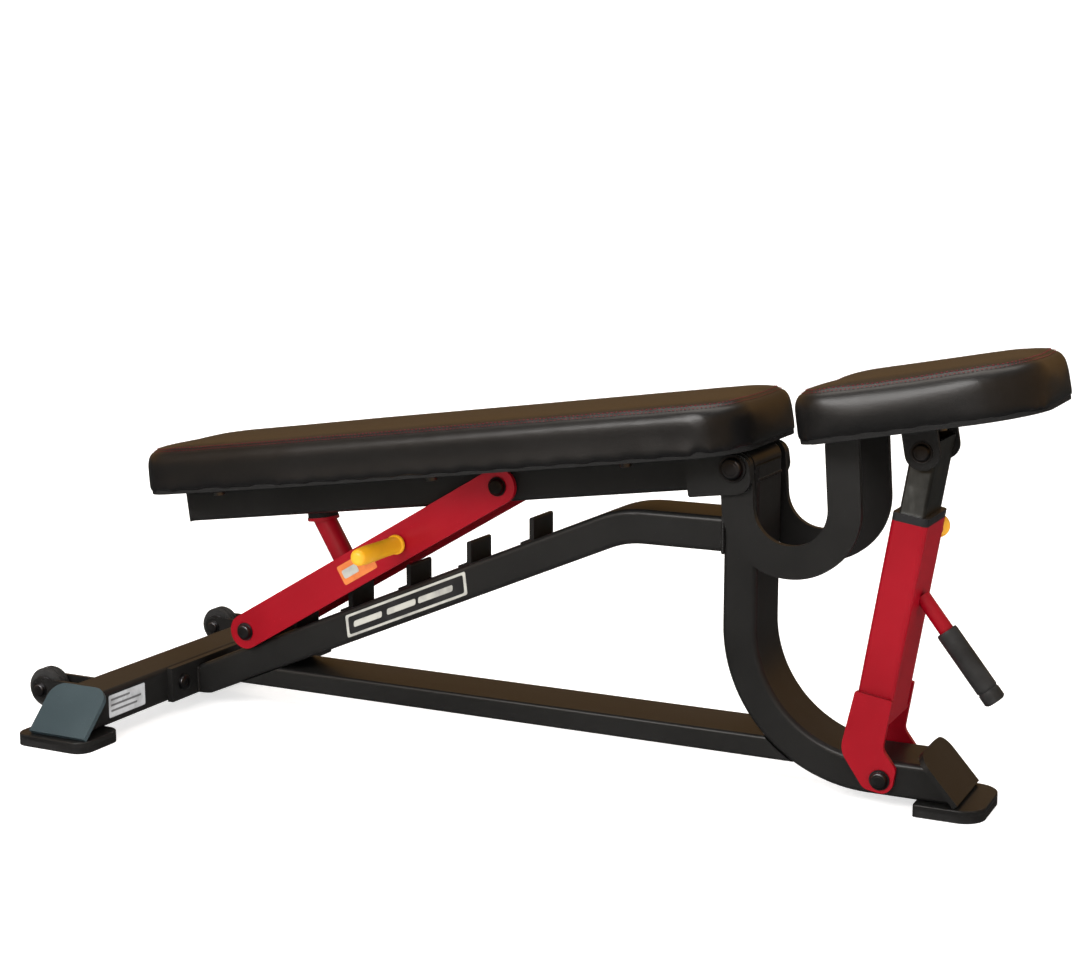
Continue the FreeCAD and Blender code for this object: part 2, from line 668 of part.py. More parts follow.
def build_catches():
    """Catch plates that stand on the sloping spine, each with a foot behind it."""
    catches = []
    for index in range(int(value("catch_count"))):
        x = f"(pivot_x - catch_first - {index} * catch_step)"
        z = f"(spine_z + ({x} - knee_x) * tan(spine_slope) + tube_high / 2 / cos(spine_slope))"
        left = f"{x} - catch_thick"
        foot = f"{x} - 3 * catch_thick"
        drop = "tan(spine_slope)"
        corners = [(x, z, 0), (x, f"{z} + catch_tall", 2.5), (left, f"{z} + catch_tall", 2.5),
                   (left, f"{z} + 3 - catch_thick * {drop}", 0), (foot, f"{z} + 3 - 3 * catch_thick * {drop}", 0),
                   (foot, f"{z} - 3 * catch_thick * {drop}", 0)]
        catches.append(plate(f"catch_{index + 1}", "ground", corners, "catch_wide"))
    keep(fuse("ladder_catches", *catches))


def build_ladder_rest():
    """Rubber pad on the spine that carries the ladder pin when the back rest lies down."""
    tall = "link_pin_rise - ladder_roller_radius - side_gap"
    keep(box("ladder_rest", "slope", "rest_place - rest_long / 2", "0 - rest_wide / 2", "tube_high / 2",
             "rest_long", "rest_wide", tall))


def build_wheels():
    """Transport wheels behind the crossbar, on bolts between bracket ears."""
    ears = []
    bolts = []
    for side, sign in SIDES:
        centre = f"{sign} * wheel_half"
        for edge in (-1, 1):
            middle = f"{centre} + {edge} * (wheel_wide / 2 + 1 + bracket_thick / 2)"
            corners = [("crossbar_front - crossbar_deep", "crossbar_z + 8", 0),
                       ("crossbar_front - crossbar_deep", "crossbar_top - 2", 0),
                       ("wheel_x - bracket_radius", "wheel_z + bracket_radius", "bracket_radius - 1"),
                       ("wheel_x - bracket_radius", "wheel_z - bracket_radius", "bracket_radius - 1")]
            hole = [("wheel_x", "wheel_z", "wheel_axle_radius")]
            ears.append(plate(f"ear_{side}_{'outer' if edge == sign else 'inner'}", "ground", corners,
                              "bracket_thick", middle, hole))
        half = "wheel_wide / 2 + 1 + bracket_thick"
        bolts.append(through_bolt(f"axle_{side}", "ground", "wheel_x", "wheel_z", "wheel_axle_radius", half, centre))
        hub_bore = "wheel_axle_radius + running_gap"
        keep(turned(f"wheel_hub_{side}", "ground", "wheel_x", centre, "wheel_z",
                    [(hub_bore, "0 - wheel_wide / 2", 0), ("wheel_radius - 9", "0 - wheel_wide / 2", 1),
                     ("wheel_radius - 9", "wheel_wide / 2", 1), (hub_bore, "wheel_wide / 2", 0)]))
        keep(turned(f"wheel_tyre_{side}", "ground", "wheel_x", centre, "wheel_z",
                    [("wheel_radius - 9", "2 - wheel_wide / 2", 0), ("wheel_radius", "2 - wheel_wide / 2", 5),
                     ("wheel_radius", "wheel_wide / 2 - 2", 5), ("wheel_radius - 9", "wheel_wide / 2 - 2", 0)]))
    keep(fuse("wheel_brackets", *ears))
    keep(fuse("wheel_bolts", *bolts))


def build_hinge():
    """Hinge hub on top of the upright, its two flanged bushes and the long hinge bolt."""
    bore = "(hub_radius - hub_wall)"
    keep(turned("hinge_hub", "hinge", 0, 0, 0, rectangle(bore, "hub_radius", "0 - hub_half", "hub_half")))
    bushes = []
    for side, sign in SIDES:
        inner = f"({bore} - bush_wall)"
        profile = [(inner, f"{sign} * (hub_half - 22)", 0), (bore, f"{sign} * (hub_half - 22)", 0),
                   (bore, f"{sign} * hub_half", 0), ("hub_radius - 2", f"{sign} * hub_half", 0),
                   ("hub_radius - 2", f"{sign} * (hub_half + bush_flange)", 0),
                   (inner, f"{sign} * (hub_half + bush_flange)", 0)]
        bushes.append(turned(f"bush_{side}", "hinge", 0, 0, 0, profile if sign > 0 else profile[::-1]))
    keep(fuse("hinge_bushes", *bushes))
    sleeve = cross_rod("hinge_sleeve", "hinge", 0, 0, f"{bore} - bush_wall", "hub_half + bush_flange + 1")
    bolt = through_bolt("hinge_shaft", "hinge", 0, 0, "pin_radius", "hinge_plate_half + side_gap")
    keep(fuse("hinge_bolt", sleeve, bolt))


# ---------------------------------------------------------------- back rest
def build_back_frame():
    """Back tube, yoke, hinge plates and flat bars that carry the back board."""
    tube = straight_tube("back_tube_blank", "back", "0 - back_head", "0 - back_drop", "back_head - back_tail",
                         "tube_high", "tube_wide", "tube_wall", "tube_corner")
    hole = cross_rod("back_tube_bolt_hole", "back", "0 - link_pivot", "0 - back_drop", "bolt_radius", "tube_wide")
    keep(cut("back_frame_tube", tube, hole))
    low = "0 - back_drop - tube_high / 2"
    high = "tube_high / 2 - back_drop"
    keep(box("back_yoke", "back", "0 - back_tail", "hinge_plate_thick - hinge_plate_half", low, "yoke_thick",
             "2 * (hinge_plate_half - hinge_plate_thick)", "tube_high"))
    plates = []
    for side, sign in SIDES:
        corners = [("0 - back_tail", f"{low} - 4", 3), ("hinge_plate_nose", f"{low} - 4", "hinge_plate_nose - 1"),
                   ("hinge_plate_nose", high, "hinge_plate_nose - 3"), ("0 - back_tail", high, 3)]
        plates.append(plate(f"hinge_plate_{side}", "back", corners, "hinge_plate_thick",
                            f"{sign} * (hinge_plate_half - hinge_plate_thick / 2)",
                            [(0, 0, "pin_radius + running_gap")]))
    keep(fuse("back_hinge_plates", *plates))
    bars = []
    for index, x in enumerate(("0 - back_head + 70", "0 - back_head / 2", "0 - back_tail - 70")):
        bars.append(box(f"bar_{index + 1}", "back", f"{x} - cross_bar_deep / 2", "0 - cross_bar_half", high,
                        "cross_bar_deep", "2 * cross_bar_half", "cross_bar_thick"))
    keep(fuse("back_cross_bars", *bars))
    cap = box("end_cap_plate", "back", "0 - back_head - 3", "0 - tube_wide / 2", low, 3, "tube_wide", "tube_high")
    plug = box("end_cap_plug", "back", "0 - back_head", "tube_wall + 1 - tube_wide / 2", f"{low} + tube_wall + 1",
               12, "tube_wide - 2 * tube_wall - 2", "tube_high - 2 * tube_wall - 2")
    keep(fuse("back_tube_cap", cap, plug))
    keep(through_bolt("link_bolt", "back", "0 - link_pivot", "0 - back_drop", "bolt_radius",
                      "link_half + side_gap"))


def back_outline(inset):
    """Back pad seen from above: parallel from the hips, narrowing towards the head."""
    hip = f"back_hip - {inset}"
    tip = f"{inset} - back_tip"
    knee = "back_taper - back_tip"
    half = []
    for sign in ("0 -", "0 +"):
        half.append([(hip, f"{sign} (back_half - {inset})", f"pad_corner - {inset}"),
                     (knee, f"{sign} (back_half - {inset})", 400),
                     (tip, f"{sign} (back_head_half - {inset})", f"pad_corner - {inset}")])
    return half[0][::-1] + half[1]


def build_back_pad():
    """Plywood board and cushion of the back rest, with the screws that hold them."""
    base = "(tube_high / 2 - back_drop + cross_bar_thick)"
    keep(slab("back_board", "back", back_outline("board_inset"), "board_thick", base))
    keep(slab("back_cushion", "back", back_outline("0"), "cushion_thick", f"{base} + board_thick", "cushion_edge"))
    screws = []
    for index, x in enumerate(("0 - back_head + 70", "0 - back_head / 2", "0 - back_tail - 70")):
        for side, sign in SIDES:
            screws.append(rod(f"back_screw_{index}_{side}", "back", x, f"{sign} * (cross_bar_half - 16)",
                              f"{base} - cross_bar_thick - 5", 7, 5, "x", 0))
    keep(fuse("back_pad_screws", *screws))


# ---------------------------------------------------------------- ladder link
def build_link():
    """Side plates, web, ladder pin, bumper post and hand peg of the link."""
    foot = "(0 - link_length)"
    round_end = "link_radius - 0.5"
    for side, sign in SIDES:
        corners = rectangle(f"{foot} - link_radius", "link_radius", "0 - link_radius", "link_radius", round_end)
        keep(plate(f"link_plate_{side}", "link", corners, "link_thick", f"{sign} * (link_half - link_thick / 2)",
                   [(0, 0, "bolt_radius + running_gap"), (foot, 0, "bolt_radius")]))
    inside = "(link_half - link_thick)"
    keep(box("link_web", "link", f"{foot} + web_start", f"0 - {inside}", "link_radius - web_thick - 2",
             "web_long", f"2 * {inside}", "web_thick"))
    keep(through_bolt("ladder_pin", "link", foot, 0, "bolt_radius", "link_half"))
    keep(turned("ladder_roller", "link", foot, 0, 0,
                rectangle("bolt_radius", "ladder_roller_radius", f"0 - {inside}", inside)))
    post_x = f"({foot} + stub_place)"
    post = rod("post_blank", "link", post_x, 0, "link_radius - 2", "stub_radius", "3 * stub_place", "x", 0)
    top = box("post_cut", "bumper_rest", "0 - 200", "0 - 100", "0 - 4", 400, 200, 400)
    flange = rod("bumper_flange", "bumper_rest", 0, 0, "0 - 4", "bumper_radius", 4, "x", 0)
    keep(fuse("bumper_post", cut("post_cut_off", post, top), flange))
    keep(turned("bumper", "bumper_rest", 0, 0, 0,
                [("0", "0", 0), ("bumper_radius - 1", "0", 0), ("bumper_radius - 1", "bumper_thick", 3),
                 ("0", "bumper_thick", 0)], "x", 0))
    peg_x = f"({foot} + peg_place)"
    keep(rod("hand_peg", "link", peg_x, "0 - link_half - peg_grip_long + 6", 0, "peg_radius", "peg_grip_long - 6"))
    keep(turned("hand_peg_grip", "link", peg_x, "0 - link_half", 0,
                [("peg_radius", "0 - 2", 0), ("peg_radius", "6 - peg_grip_long", 0), ("0", "6 - peg_grip_long", 0),
                 ("0", "0 - peg_grip_long", 0), ("peg_grip_radius", "0 - peg_grip_long", 6),
                 ("peg_grip_radius", "0 - 2", 2)]))


# ---------------------------------------------------------------- seat
def build_seat_frame():
    """U-shaped side plates, mount plate, strut ears and their bolt."""
    left = "jaw_centre - jaw_inner - jaw_wide"
    inner_left = "jaw_centre - jaw_inner"
    inner_right = "jaw_centre + jaw_inner"
    right = "jaw_centre + jaw_inner + jaw_wide"
    low = "0 - jaw_depth - jaw_inner - jaw_wide"
    floor = "0 - jaw_depth - jaw_inner"
    for side, sign in SIDES:
        corners = [(left, "jaw_top", "jaw_wide / 2 - 2"), (left, low, "jaw_inner + jaw_wide - 0.5"),
                   (right, low, "jaw_inner + jaw_wide - 0.5"),
                   (right, f"seat_lift - mount_plate_thick + ({right}) * tan(seat_angle - jaw_angle) - 0.2", 0),
                   (inner_right, f"seat_lift - mount_plate_thick + ({inner_right}) * tan(seat_angle - jaw_angle) - 0.2",
                    0),
                   (inner_right, floor, "jaw_inner - 0.5"), (inner_left, floor, "jaw_inner - 0.5"),
                   (inner_left, "jaw_top", "jaw_wide / 2 - 2")]
        keep(plate(f"seat_side_plate_{side}", "jaw", corners, "jaw_thick", f"{sign} * (jaw_half - jaw_thick / 2)",
                   [(0, 0, "pin_radius + running_gap")]))
    keep(slab("seat_mount_plate", "seat",
              rectangle("mount_plate_rear", "mount_plate_front", "0 - jaw_half", "jaw_half", 8),
              "mount_plate_thick", "seat_lift - mount_plate_thick"))
    ears = []
    for side, sign in SIDES:
        top = "seat_lift - mount_plate_thick"
        low = "0 - ear_drop - ear_radius"
        corners = [("ear_x - ear_radius", low, "ear_radius - 1"), ("ear_x + ear_radius", low, "ear_radius - 1"),
                   ("ear_x + ear_radius", top, 0), ("ear_x - ear_radius", top, 0)]
        ears.append(plate(f"strut_ear_{side}", "seat", corners, "ear_thick", f"{sign} * (ear_half - ear_thick / 2)",
                          [("ear_x", "0 - ear_drop", "bolt_radius")]))
    keep(fuse("strut_ears", *ears))
    keep(through_bolt("strut_top_bolt", "seat", "ear_x", "0 - ear_drop", "bolt_radius", "ear_half"))


def seat_outline(inset):
    """Seat pad seen from above, with large round corners in front."""
    return [(f"seat_rear + {inset}", f"{inset} - seat_half", f"seat_rear_corner - {inset}"),
            (f"seat_front - {inset}", f"{inset} - seat_half", f"seat_front_corner - {inset}"),
            (f"seat_front - {inset}", f"seat_half - {inset}", f"seat_front_corner - {inset}"),
            (f"seat_rear + {inset}", f"seat_half - {inset}", f"seat_rear_corner - {inset}")]


def build_seat_pad():
    """Plywood board and cushion of the seat, with the screws that hold them."""
    keep(slab("seat_board", "seat", seat_outline("board_inset"), "board_thick", "seat_lift"))
    keep(slab("seat_cushion", "seat", seat_outline("0"), "cushion_thick", "seat_lift + board_thick",
              "cushion_edge"))
    screws = []
    for end, x in (("rear", "mount_plate_rear + 18"), ("front", "mount_plate_front - 14")):
        for side, sign in SIDES:
            screws.append(rod(f"seat_screw_{end}_{side}", "seat", x, f"{sign} * (ear_half - ear_thick - 14)",
                              "seat_lift - mount_plate_thick - 5", 6.5, 5, "x", 0))
    keep(fuse("seat_pad_screws", *screws))


# ---------------------------------------------------------------- seat strut
def build_outer_strut():
    """Outer tube with its fork, collar, pin housing, carry handle and small screws."""
    tube = straight_tube("outer_blank", "strut", "strut_axis", "outer_bottom", "outer_top - outer_bottom",
                         "outer_high", "outer_wide", "outer_wall", "tube_corner", 0)
    pin_x = "strut_axis + 6"
    hole = rod("outer_pin_hole", "strut", pin_x, 0, "pull_pin_z", "pull_pin_radius + 0.5", "outer_wide")
    keep(cut("strut_outer_tube", tube, hole))
    rear = "strut_axis - outer_high / 2"
    front = "strut_axis + outer_high / 2"
    forks = []
    for side, sign in SIDES:
        corners = [("15", "0 - 15", 14), ("15", "16", 8), (f"{front} + 1", "34", 12),
                   (f"{front} + 1", "outer_bottom + 26", 2), (f"{rear} - 1", "outer_bottom + 26", 2),
                   (f"{rear} - 5", "20", 26), ("0 - 16", "0 - 15", 12)]
        forks.append(plate(f"fork_{side}", "strut", corners, "fork_thick",
                           f"{sign} * (outer_wide / 2 + fork_thick / 2)", [(0, 0, "bolt_radius + running_gap")]))
    closing = box("strut_base_plate", "strut", rear, "0 - outer_wide / 2", "outer_bottom - 4", "outer_high",
                  "outer_wide", 4)
    keep(fuse("strut_forks", closing, *forks))
    inner_half_x = "(inner_high / 2 + sleeve_gap)"
    inner_half_y = "(inner_wide / 2 + sleeve_gap)"
    collar = new_body("collar_rim")
    drawing = new_sketch(collar, "XY_Plane")
    outline(drawing, rectangle("0 - outer_high / 2", "outer_high / 2", "0 - outer_wide / 2", "outer_wide / 2", 6))
    outline(drawing, rectangle(f"0 - {inner_half_x}", inner_half_x, f"0 - {inner_half_y}", inner_half_y, 4))
    rim = collar.newObject("PartDesign::Pad", "collar_rim_pad")
    rim.Profile = drawing
    bind(rim, Length="collar_rise")
    place(collar, "strut", "strut_axis", 0, "outer_top")
    skirt = new_body("collar_skirt_ring")
    drawing = new_sketch(skirt, "XY_Plane")
    outline(drawing, rectangle("outer_wall - outer_high / 2", "outer_high / 2 - outer_wall",
                               "outer_wall - outer_wide / 2", "outer_wide / 2 - outer_wall", 3))
    outline(drawing, rectangle(f"0 - {inner_half_x}", inner_half_x, f"0 - {inner_half_y}", inner_half_y, 4))
    ring = skirt.newObject("PartDesign::Pad", "collar_skirt_pad")
    ring.Profile = drawing
    bind(ring, Length="collar_skirt")
    place(skirt, "strut", "strut_axis", 0, "outer_top - collar_skirt")
    pin_way = rod("collar_pin_way", "strut", pin_x, 0, "pull_pin_z", "pull_pin_radius + 0.5", "outer_wide")
    keep(cut("strut_collar", fuse("collar_whole", collar, skirt), pin_way))
    barrel = ("outer_wide / 2", "16")
    keep(turned("pull_pin_housing", "strut", pin_x, barrel[0], "pull_pin_z",
                rectangle("pull_pin_radius + 0.4", "10", "0", barrel[1])))
    screw = rod("play_screw", "strut", f"{rear} - 7", 0, "outer_top - 24", 5, 7, "y", 90)
    keep(screw, "strut_play_screw")
    turn = "90 + carry_angle"
    bar = rod("carry_rod_blank", "strut", front, 0, "carry_z", "carry_rod_radius", "carry_rod_long", "y", turn)
    tube_space = box("carry_rod_cut", "strut", rear, "0 - outer_wide / 2", "outer_bottom", "outer_high",
                     "outer_wide", "outer_top - outer_bottom")
    keep(cut("carry_rod", bar, tube_space))
    start = "(carry_rod_long - carry_grip_long + 4)"
    keep(turned("carry_grip", "carry", 0, 0, start,
                [("carry_rod_radius", "0", 0), ("carry_grip_radius", "0", 2), ("carry_grip_radius", "carry_grip_long", 6),
                 ("0", "carry_grip_long", 0), ("0", "carry_grip_long - 4", 0),
                 ("carry_rod_radius", "carry_grip_long - 4", 0)], "x", 0))


def build_fork_bolt():
    """Lower hinge bolt of the strut, through the front run of the upright."""
    keep(through_bolt("strut_foot_bolt", "strut", 0, 0, "bolt_radius", "outer_wide / 2 + fork_thick + side_gap"))


def build_inner_strut():
    """Inner tube that carries the seat ears, with adjusting holes for the pull pin."""
    tube = straight_tube("inner_blank", "strut", "strut_axis", "inner_bottom",
                         "strut_long + inner_over - inner_bottom", "inner_high", "inner_wide", "inner_wall", 4, 0)
    bolt = cross_rod("inner_bolt_hole", "strut", "strut_axis", "strut_long", "bolt_radius + ear_play", "inner_wide")
    pins = [rod(f"inner_pin_hole_{step}", "strut", "strut_axis + 6", 0,
                f"pull_pin_z + {step} * pin_step", "pull_pin_radius + 2", "inner_wide") for step in (-2, -1, 0, 1)]
    keep(cut("strut_inner_tube", tube, bolt, *pins))


def build_pull_pin():
    """Sprung pull pin with its ball, drawn out sideways to free the inner tube."""
    pin_x = "strut_axis + 6"
    tip = "inner_wide / 2 + sleeve_gap"
    keep(rod("pull_pin", "strut", pin_x, tip, "pull_pin_z", "pull_pin_radius",
             f"outer_wide / 2 + 22 - ({tip})"))
    ball = doc.addObject("Part::Sphere", "ball_blank")
    bind(ball, Radius="pull_knob_radius")
    centre = "outer_wide / 2 + 18 + pull_knob_radius"
    place(ball, "strut", pin_x, centre, "pull_pin_z")
    hole = rod("ball_hole", "strut", pin_x, "outer_wide / 2 + 10", "pull_pin_z", "pull_pin_radius", 12)
    keep(cut("pull_pin_ball", ball, hole))


derive_frame("front_end", spot("pivot_x + front_reach", 0, "foot_stack", "y", "front_slope - 90"))
derive_frame("slope", spot("knee_x", 0, "spine_z", "y", "0 - spine_slope"))
derive_frame("near_end", spot("crossbar_front - crossbar_deep / 2", "0 - crossbar_half", "crossbar_z", "x", 45))
derive_frame("far_end", spot("crossbar_front - crossbar_deep / 2", "crossbar_half", "crossbar_z", "x", 135))
derive_frame("bumper_rest", "link * " + spot("stub_place - link_length", 0, "bumper_base", "y", "fold_angle"))
derive_frame("carry", "strut * " + spot("strut_axis + outer_high / 2", 0, "carry_z", "y", "90 + carry_angle"))
doc.recompute()

for build in (build_upright, build_front_foot, build_spines, build_crossbar, build_rear_feet, build_catches,
              build_ladder_rest, build_wheels, build_hinge, build_back_frame, build_back_pad, build_link, build_seat_frame,
              build_seat_pad, build_outer_strut, build_fork_bolt, build_inner_strut, build_pull_pin):
    build()
doc.recompute()


def check_and_export():
    """Stop on any failed object, then write one STEP file for each sub-part."""
    failed = [item.Name for item in doc.Objects if {"Invalid", "Error"} & set(item.State)]
    if failed:
        raise RuntimeError(f"failed objects: {failed}")
    for label, item in NODES.items():
        if item.Shape.isNull() or not item.Shape.isValid() or not item.Shape.Solids:
            raise RuntimeError(f"bad shape: {label}")
    os.makedirs("parts", exist_ok=True)
    for label, item in NODES.items():
        item.Shape.exportStep(os.path.join("parts", label + ".step"))


check_and_export()
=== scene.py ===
"""Adjustable weight bench: pads, finishes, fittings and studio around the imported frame.  Sizes are in metres."""

import json
import math
import random

import bmesh
import bpy
from mathutils import Matrix, Vector
from mathutils.bvhtree import BVHTree
from mathutils.kdtree import KDTree


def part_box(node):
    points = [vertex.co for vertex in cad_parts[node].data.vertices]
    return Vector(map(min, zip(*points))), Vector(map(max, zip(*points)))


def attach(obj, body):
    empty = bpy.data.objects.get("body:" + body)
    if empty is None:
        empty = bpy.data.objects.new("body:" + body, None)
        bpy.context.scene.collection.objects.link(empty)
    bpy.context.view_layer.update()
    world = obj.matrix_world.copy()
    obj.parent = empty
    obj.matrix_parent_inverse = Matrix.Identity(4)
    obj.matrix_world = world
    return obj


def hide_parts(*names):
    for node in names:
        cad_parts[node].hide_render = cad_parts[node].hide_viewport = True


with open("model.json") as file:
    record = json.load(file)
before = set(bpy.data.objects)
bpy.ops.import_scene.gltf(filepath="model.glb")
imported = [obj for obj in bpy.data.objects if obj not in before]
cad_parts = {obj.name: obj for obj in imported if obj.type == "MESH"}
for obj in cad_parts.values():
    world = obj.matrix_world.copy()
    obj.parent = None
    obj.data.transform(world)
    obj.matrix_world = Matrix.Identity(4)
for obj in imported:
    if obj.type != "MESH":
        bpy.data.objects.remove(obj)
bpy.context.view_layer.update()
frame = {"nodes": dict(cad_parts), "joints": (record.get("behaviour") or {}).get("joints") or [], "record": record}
nodes = frame["nodes"]
joints = {joint["name"]: joint for joint in frame["joints"]}
PIVOT = Vector(joints["back_recline"]["pos_m"])
LINK_PIVOT = Vector(joints["link_swing"]["pos_m"])
MM = 0.001


# ---------------------------------------------------------------- shader building
class Value:
    """A shader socket that Python's operators do maths on."""

    def __init__(self, tree, socket):
        self.tree = tree
        self.socket = socket

    def maths(self, operation, *others):
        node = self.tree.nodes.new("ShaderNodeMath")
        node.operation = operation
        for slot, item in zip(node.inputs, (self, *others)):
            feed(self.tree, slot, item)
        return Value(self.tree, node.outputs[0])

    def __add__(self, other):
        return self.maths("ADD", other)

    def __sub__(self, other):
        return self.maths("SUBTRACT", other)

    def __mul__(self, other):
        return self.maths("MULTIPLY", other)

    def above(self, limit, soft):
        """0 below a limit and 1 above it, over a soft step."""
        return ((self - limit) * (1 / soft) + 0.5).maths("MAXIMUM", 0.0).maths("MINIMUM", 1.0)

    __radd__ = __add__
    __rmul__ = __mul__


def feed(tree, slot, item):
    """Link a value to an input, or set a number there."""
    if isinstance(item, Value):
        tree.links.new(item.socket, slot)
    else:
        slot.default_value = item


class Finish:
    """One material: its shader, and the one method that adds other nodes."""

    def __init__(self, name, **constants):
        self.material = bpy.data.materials.new(name)
        self.material.use_nodes = True
        self.tree = self.material.node_tree
        self.shader = self.tree.nodes["Principled BSDF"]
        for socket, number in constants.items():
            self.shader.inputs[socket.replace("_", " ")].default_value = number

    def node(self, kind, settings=None, inputs=None, output=0):
        """Add a node: its settings first, then the values or links of its inputs."""
        node = self.tree.nodes.new("ShaderNode" + kind)
        for key, setting in (settings or {}).items():
            setattr(node, key, setting)
        for key, item in (inputs or {}).items():
            feed(self.tree, node.inputs[key], item)
        return Value(self.tree, node.outputs[output])

    def place(self, stretch=(1, 1, 1)):
        """Object coordinates, stretched along the axes."""
        point = self.node("TexCoord", output=3)
        return self.node("Mapping", None, {"Vector": point, "Scale": stretch})

    def noise(self, scale, detail=3.0, stretch=(1, 1, 1), rough=0.5):
        return self.node("TexNoise", None, {"Vector": self.place(stretch), "Scale": scale, "Detail": detail,
                                            "Roughness": rough})

    def cells(self, scale, feature="F1", output=0):
        return self.node("TexVoronoi", {"feature": feature}, {"Vector": self.place(), "Scale": scale}, output)

    def blend(self, factor, first, second):
        return self.node("Mix", {"data_type": "RGBA"}, {0: factor, 6: first, 7: second}, 2)

    def set(self, **values):
        for socket, item in values.items():
            feed(self.tree, self.shader.inputs[socket.replace("_", " ")], item)
        return self

    def bump(self, height, depth, strength=1.0):
        """Relief of a given depth in metres."""
        relief = self.node("Bump", None, {"Height": height, "Distance": depth, "Strength": strength})
        return self.set(Normal=relief)


def grey(level):
    return (level, level, level, 1)


# ---------------------------------------------------------------- finishes
def powder_coat(name, colour, shadow, rough, coat=0.0, shine=0.38):
    """Powder coat: a fine orange-peel skin, cloudy gloss and a few rubbed specks."""
    finish = Finish(name, Coat_Roughness=0.12, Specular_IOR_Level=shine)
    cloud = finish.noise(9, 4)
    speck = finish.noise(420, 2).above(0.735, 0.03)
    body = finish.blend(cloud.above(0.5, 0.5), shadow, colour)
    worn = tuple(min(1, 2.2 * part + 0.02) for part in colour[:3]) + (1,)
    finish.set(Base_Color=finish.blend(speck * 0.35, body, worn),
               Roughness=cloud * 0.12 + (rough - 0.06) + speck * 0.1, Coat_Weight=cloud * 0.2 + coat)
    peel = finish.noise(520, 2) * 0.7 + finish.noise(130, 2) * 0.3
    return finish.bump(peel, 0.12 * MM, 0.55).material


def vinyl():
    """Black upholstery vinyl: pebbled grain, faint drag wrinkles and a rubbed sheen."""
    finish = Finish("vinyl_black", Coat_Roughness=0.22, Specular_IOR_Level=0.5)
    cloud = finish.noise(7, 4)
    grain = finish.cells(760, "DISTANCE_TO_EDGE")
    pores = finish.noise(1500, 2)
    drag = finish.noise(16, 3, (1, 0.45, 1), 0.6)
    body = finish.blend(cloud.above(0.5, 0.6), (0.0042, 0.0042, 0.0046, 1), (0.0082, 0.0078, 0.0078, 1))
    finish.set(Base_Color=finish.blend(grain.above(0.05, 0.1), grey(0.0026), body),
               Roughness=cloud * 0.14 + 0.27 + pores * 0.05, Coat_Weight=cloud * 0.22 + 0.08)
    relief = grain.above(0.12, 0.24) * 0.16 + pores * 0.04 + drag * 0.8
    return finish.bump(relief, 0.55 * MM, 0.5).material


def underlay():
    """Black cloth cover over the plywood, with a loose fleece weave."""
    finish = Finish("board_cover", Specular_IOR_Level=0.2)
    felt = finish.noise(900, 4, (1, 1, 1), 0.7)
    finish.set(Base_Color=finish.blend(felt, grey(0.006), grey(0.018)), Roughness=felt * 0.1 + 0.78)
    return finish.bump(felt, 0.4 * MM, 0.8).material


def rubber(name, level, rough=0.62, grain=380):
    """Moulded rubber: dusty matt skin with a fine spark-eroded grain."""
    finish = Finish(name, Specular_IOR_Level=0.35)
    dust = finish.noise(24, 5, (1, 1, 1), 0.65)
    pits = finish.noise(grain, 3)
    finish.set(Base_Color=finish.blend(dust.above(0.56, 0.3) * 0.7, grey(level), grey(2.4 * level)),
               Roughness=dust * 0.2 + rough - 0.1)
    return finish.bump(pits, 0.25 * MM, 0.6).material


def plastic(name, colour, rough, relief=0.05):
    """Injection-moulded plastic with faint flow marks."""
    finish = Finish(name, Coat_Roughness=0.1)
    flow = finish.noise(30, 3, (1, 1, 0.3))
    deep = tuple(0.78 * part for part in colour[:3]) + (1,)
    finish.set(Base_Color=finish.blend(flow.above(0.5, 0.7), deep, colour), Roughness=flow * 0.14 + rough - 0.05,
               Coat_Weight=flow * 0.2)
    return finish.bump(finish.noise(600, 2), relief * MM, 0.5).material


def zinc(name, colour, rough, stretch=(60, 60, 4)):
    """Zinc-plated steel: draw lines, cloudy plating and small dull spots."""
    finish = Finish(name, Metallic=1.0)
    lines = finish.noise(14, 3, stretch)
    cloud = finish.noise(38, 4)
    dull = tuple(0.55 * part for part in colour[:3]) + (1,)
    finish.set(Base_Color=finish.blend(cloud.above(0.52, 0.4), dull, colour),
               Roughness=lines * 0.16 + rough - 0.08 + cloud.above(0.6, 0.1) * 0.1)
    return finish.bump(lines, 0.05 * MM, 0.6).material


def thread():
    """Dark red sewing thread, twisted."""
    finish = Finish("thread_red", Specular_IOR_Level=0.3)
    twist = finish.noise(2600, 2)
    finish.set(Base_Color=finish.blend(twist, (0.09, 0.006, 0.012, 1), (0.26, 0.02, 0.035, 1)), Roughness=0.6)
    return finish.bump(twist, 0.1 * MM, 0.6).material


def printed(name, colour, edge):
    """Printed label film, slightly soiled."""
    finish = Finish(name, Coat_Weight=0.3, Coat_Roughness=0.2)
    soil = finish.noise(55, 4)
    finish.set(Base_Color=finish.blend(soil.above(0.6, 0.3), colour, edge), Roughness=soil * 0.1 + 0.35)
    return finish.bump(finish.noise(900, 1), 0.02 * MM, 0.4).material


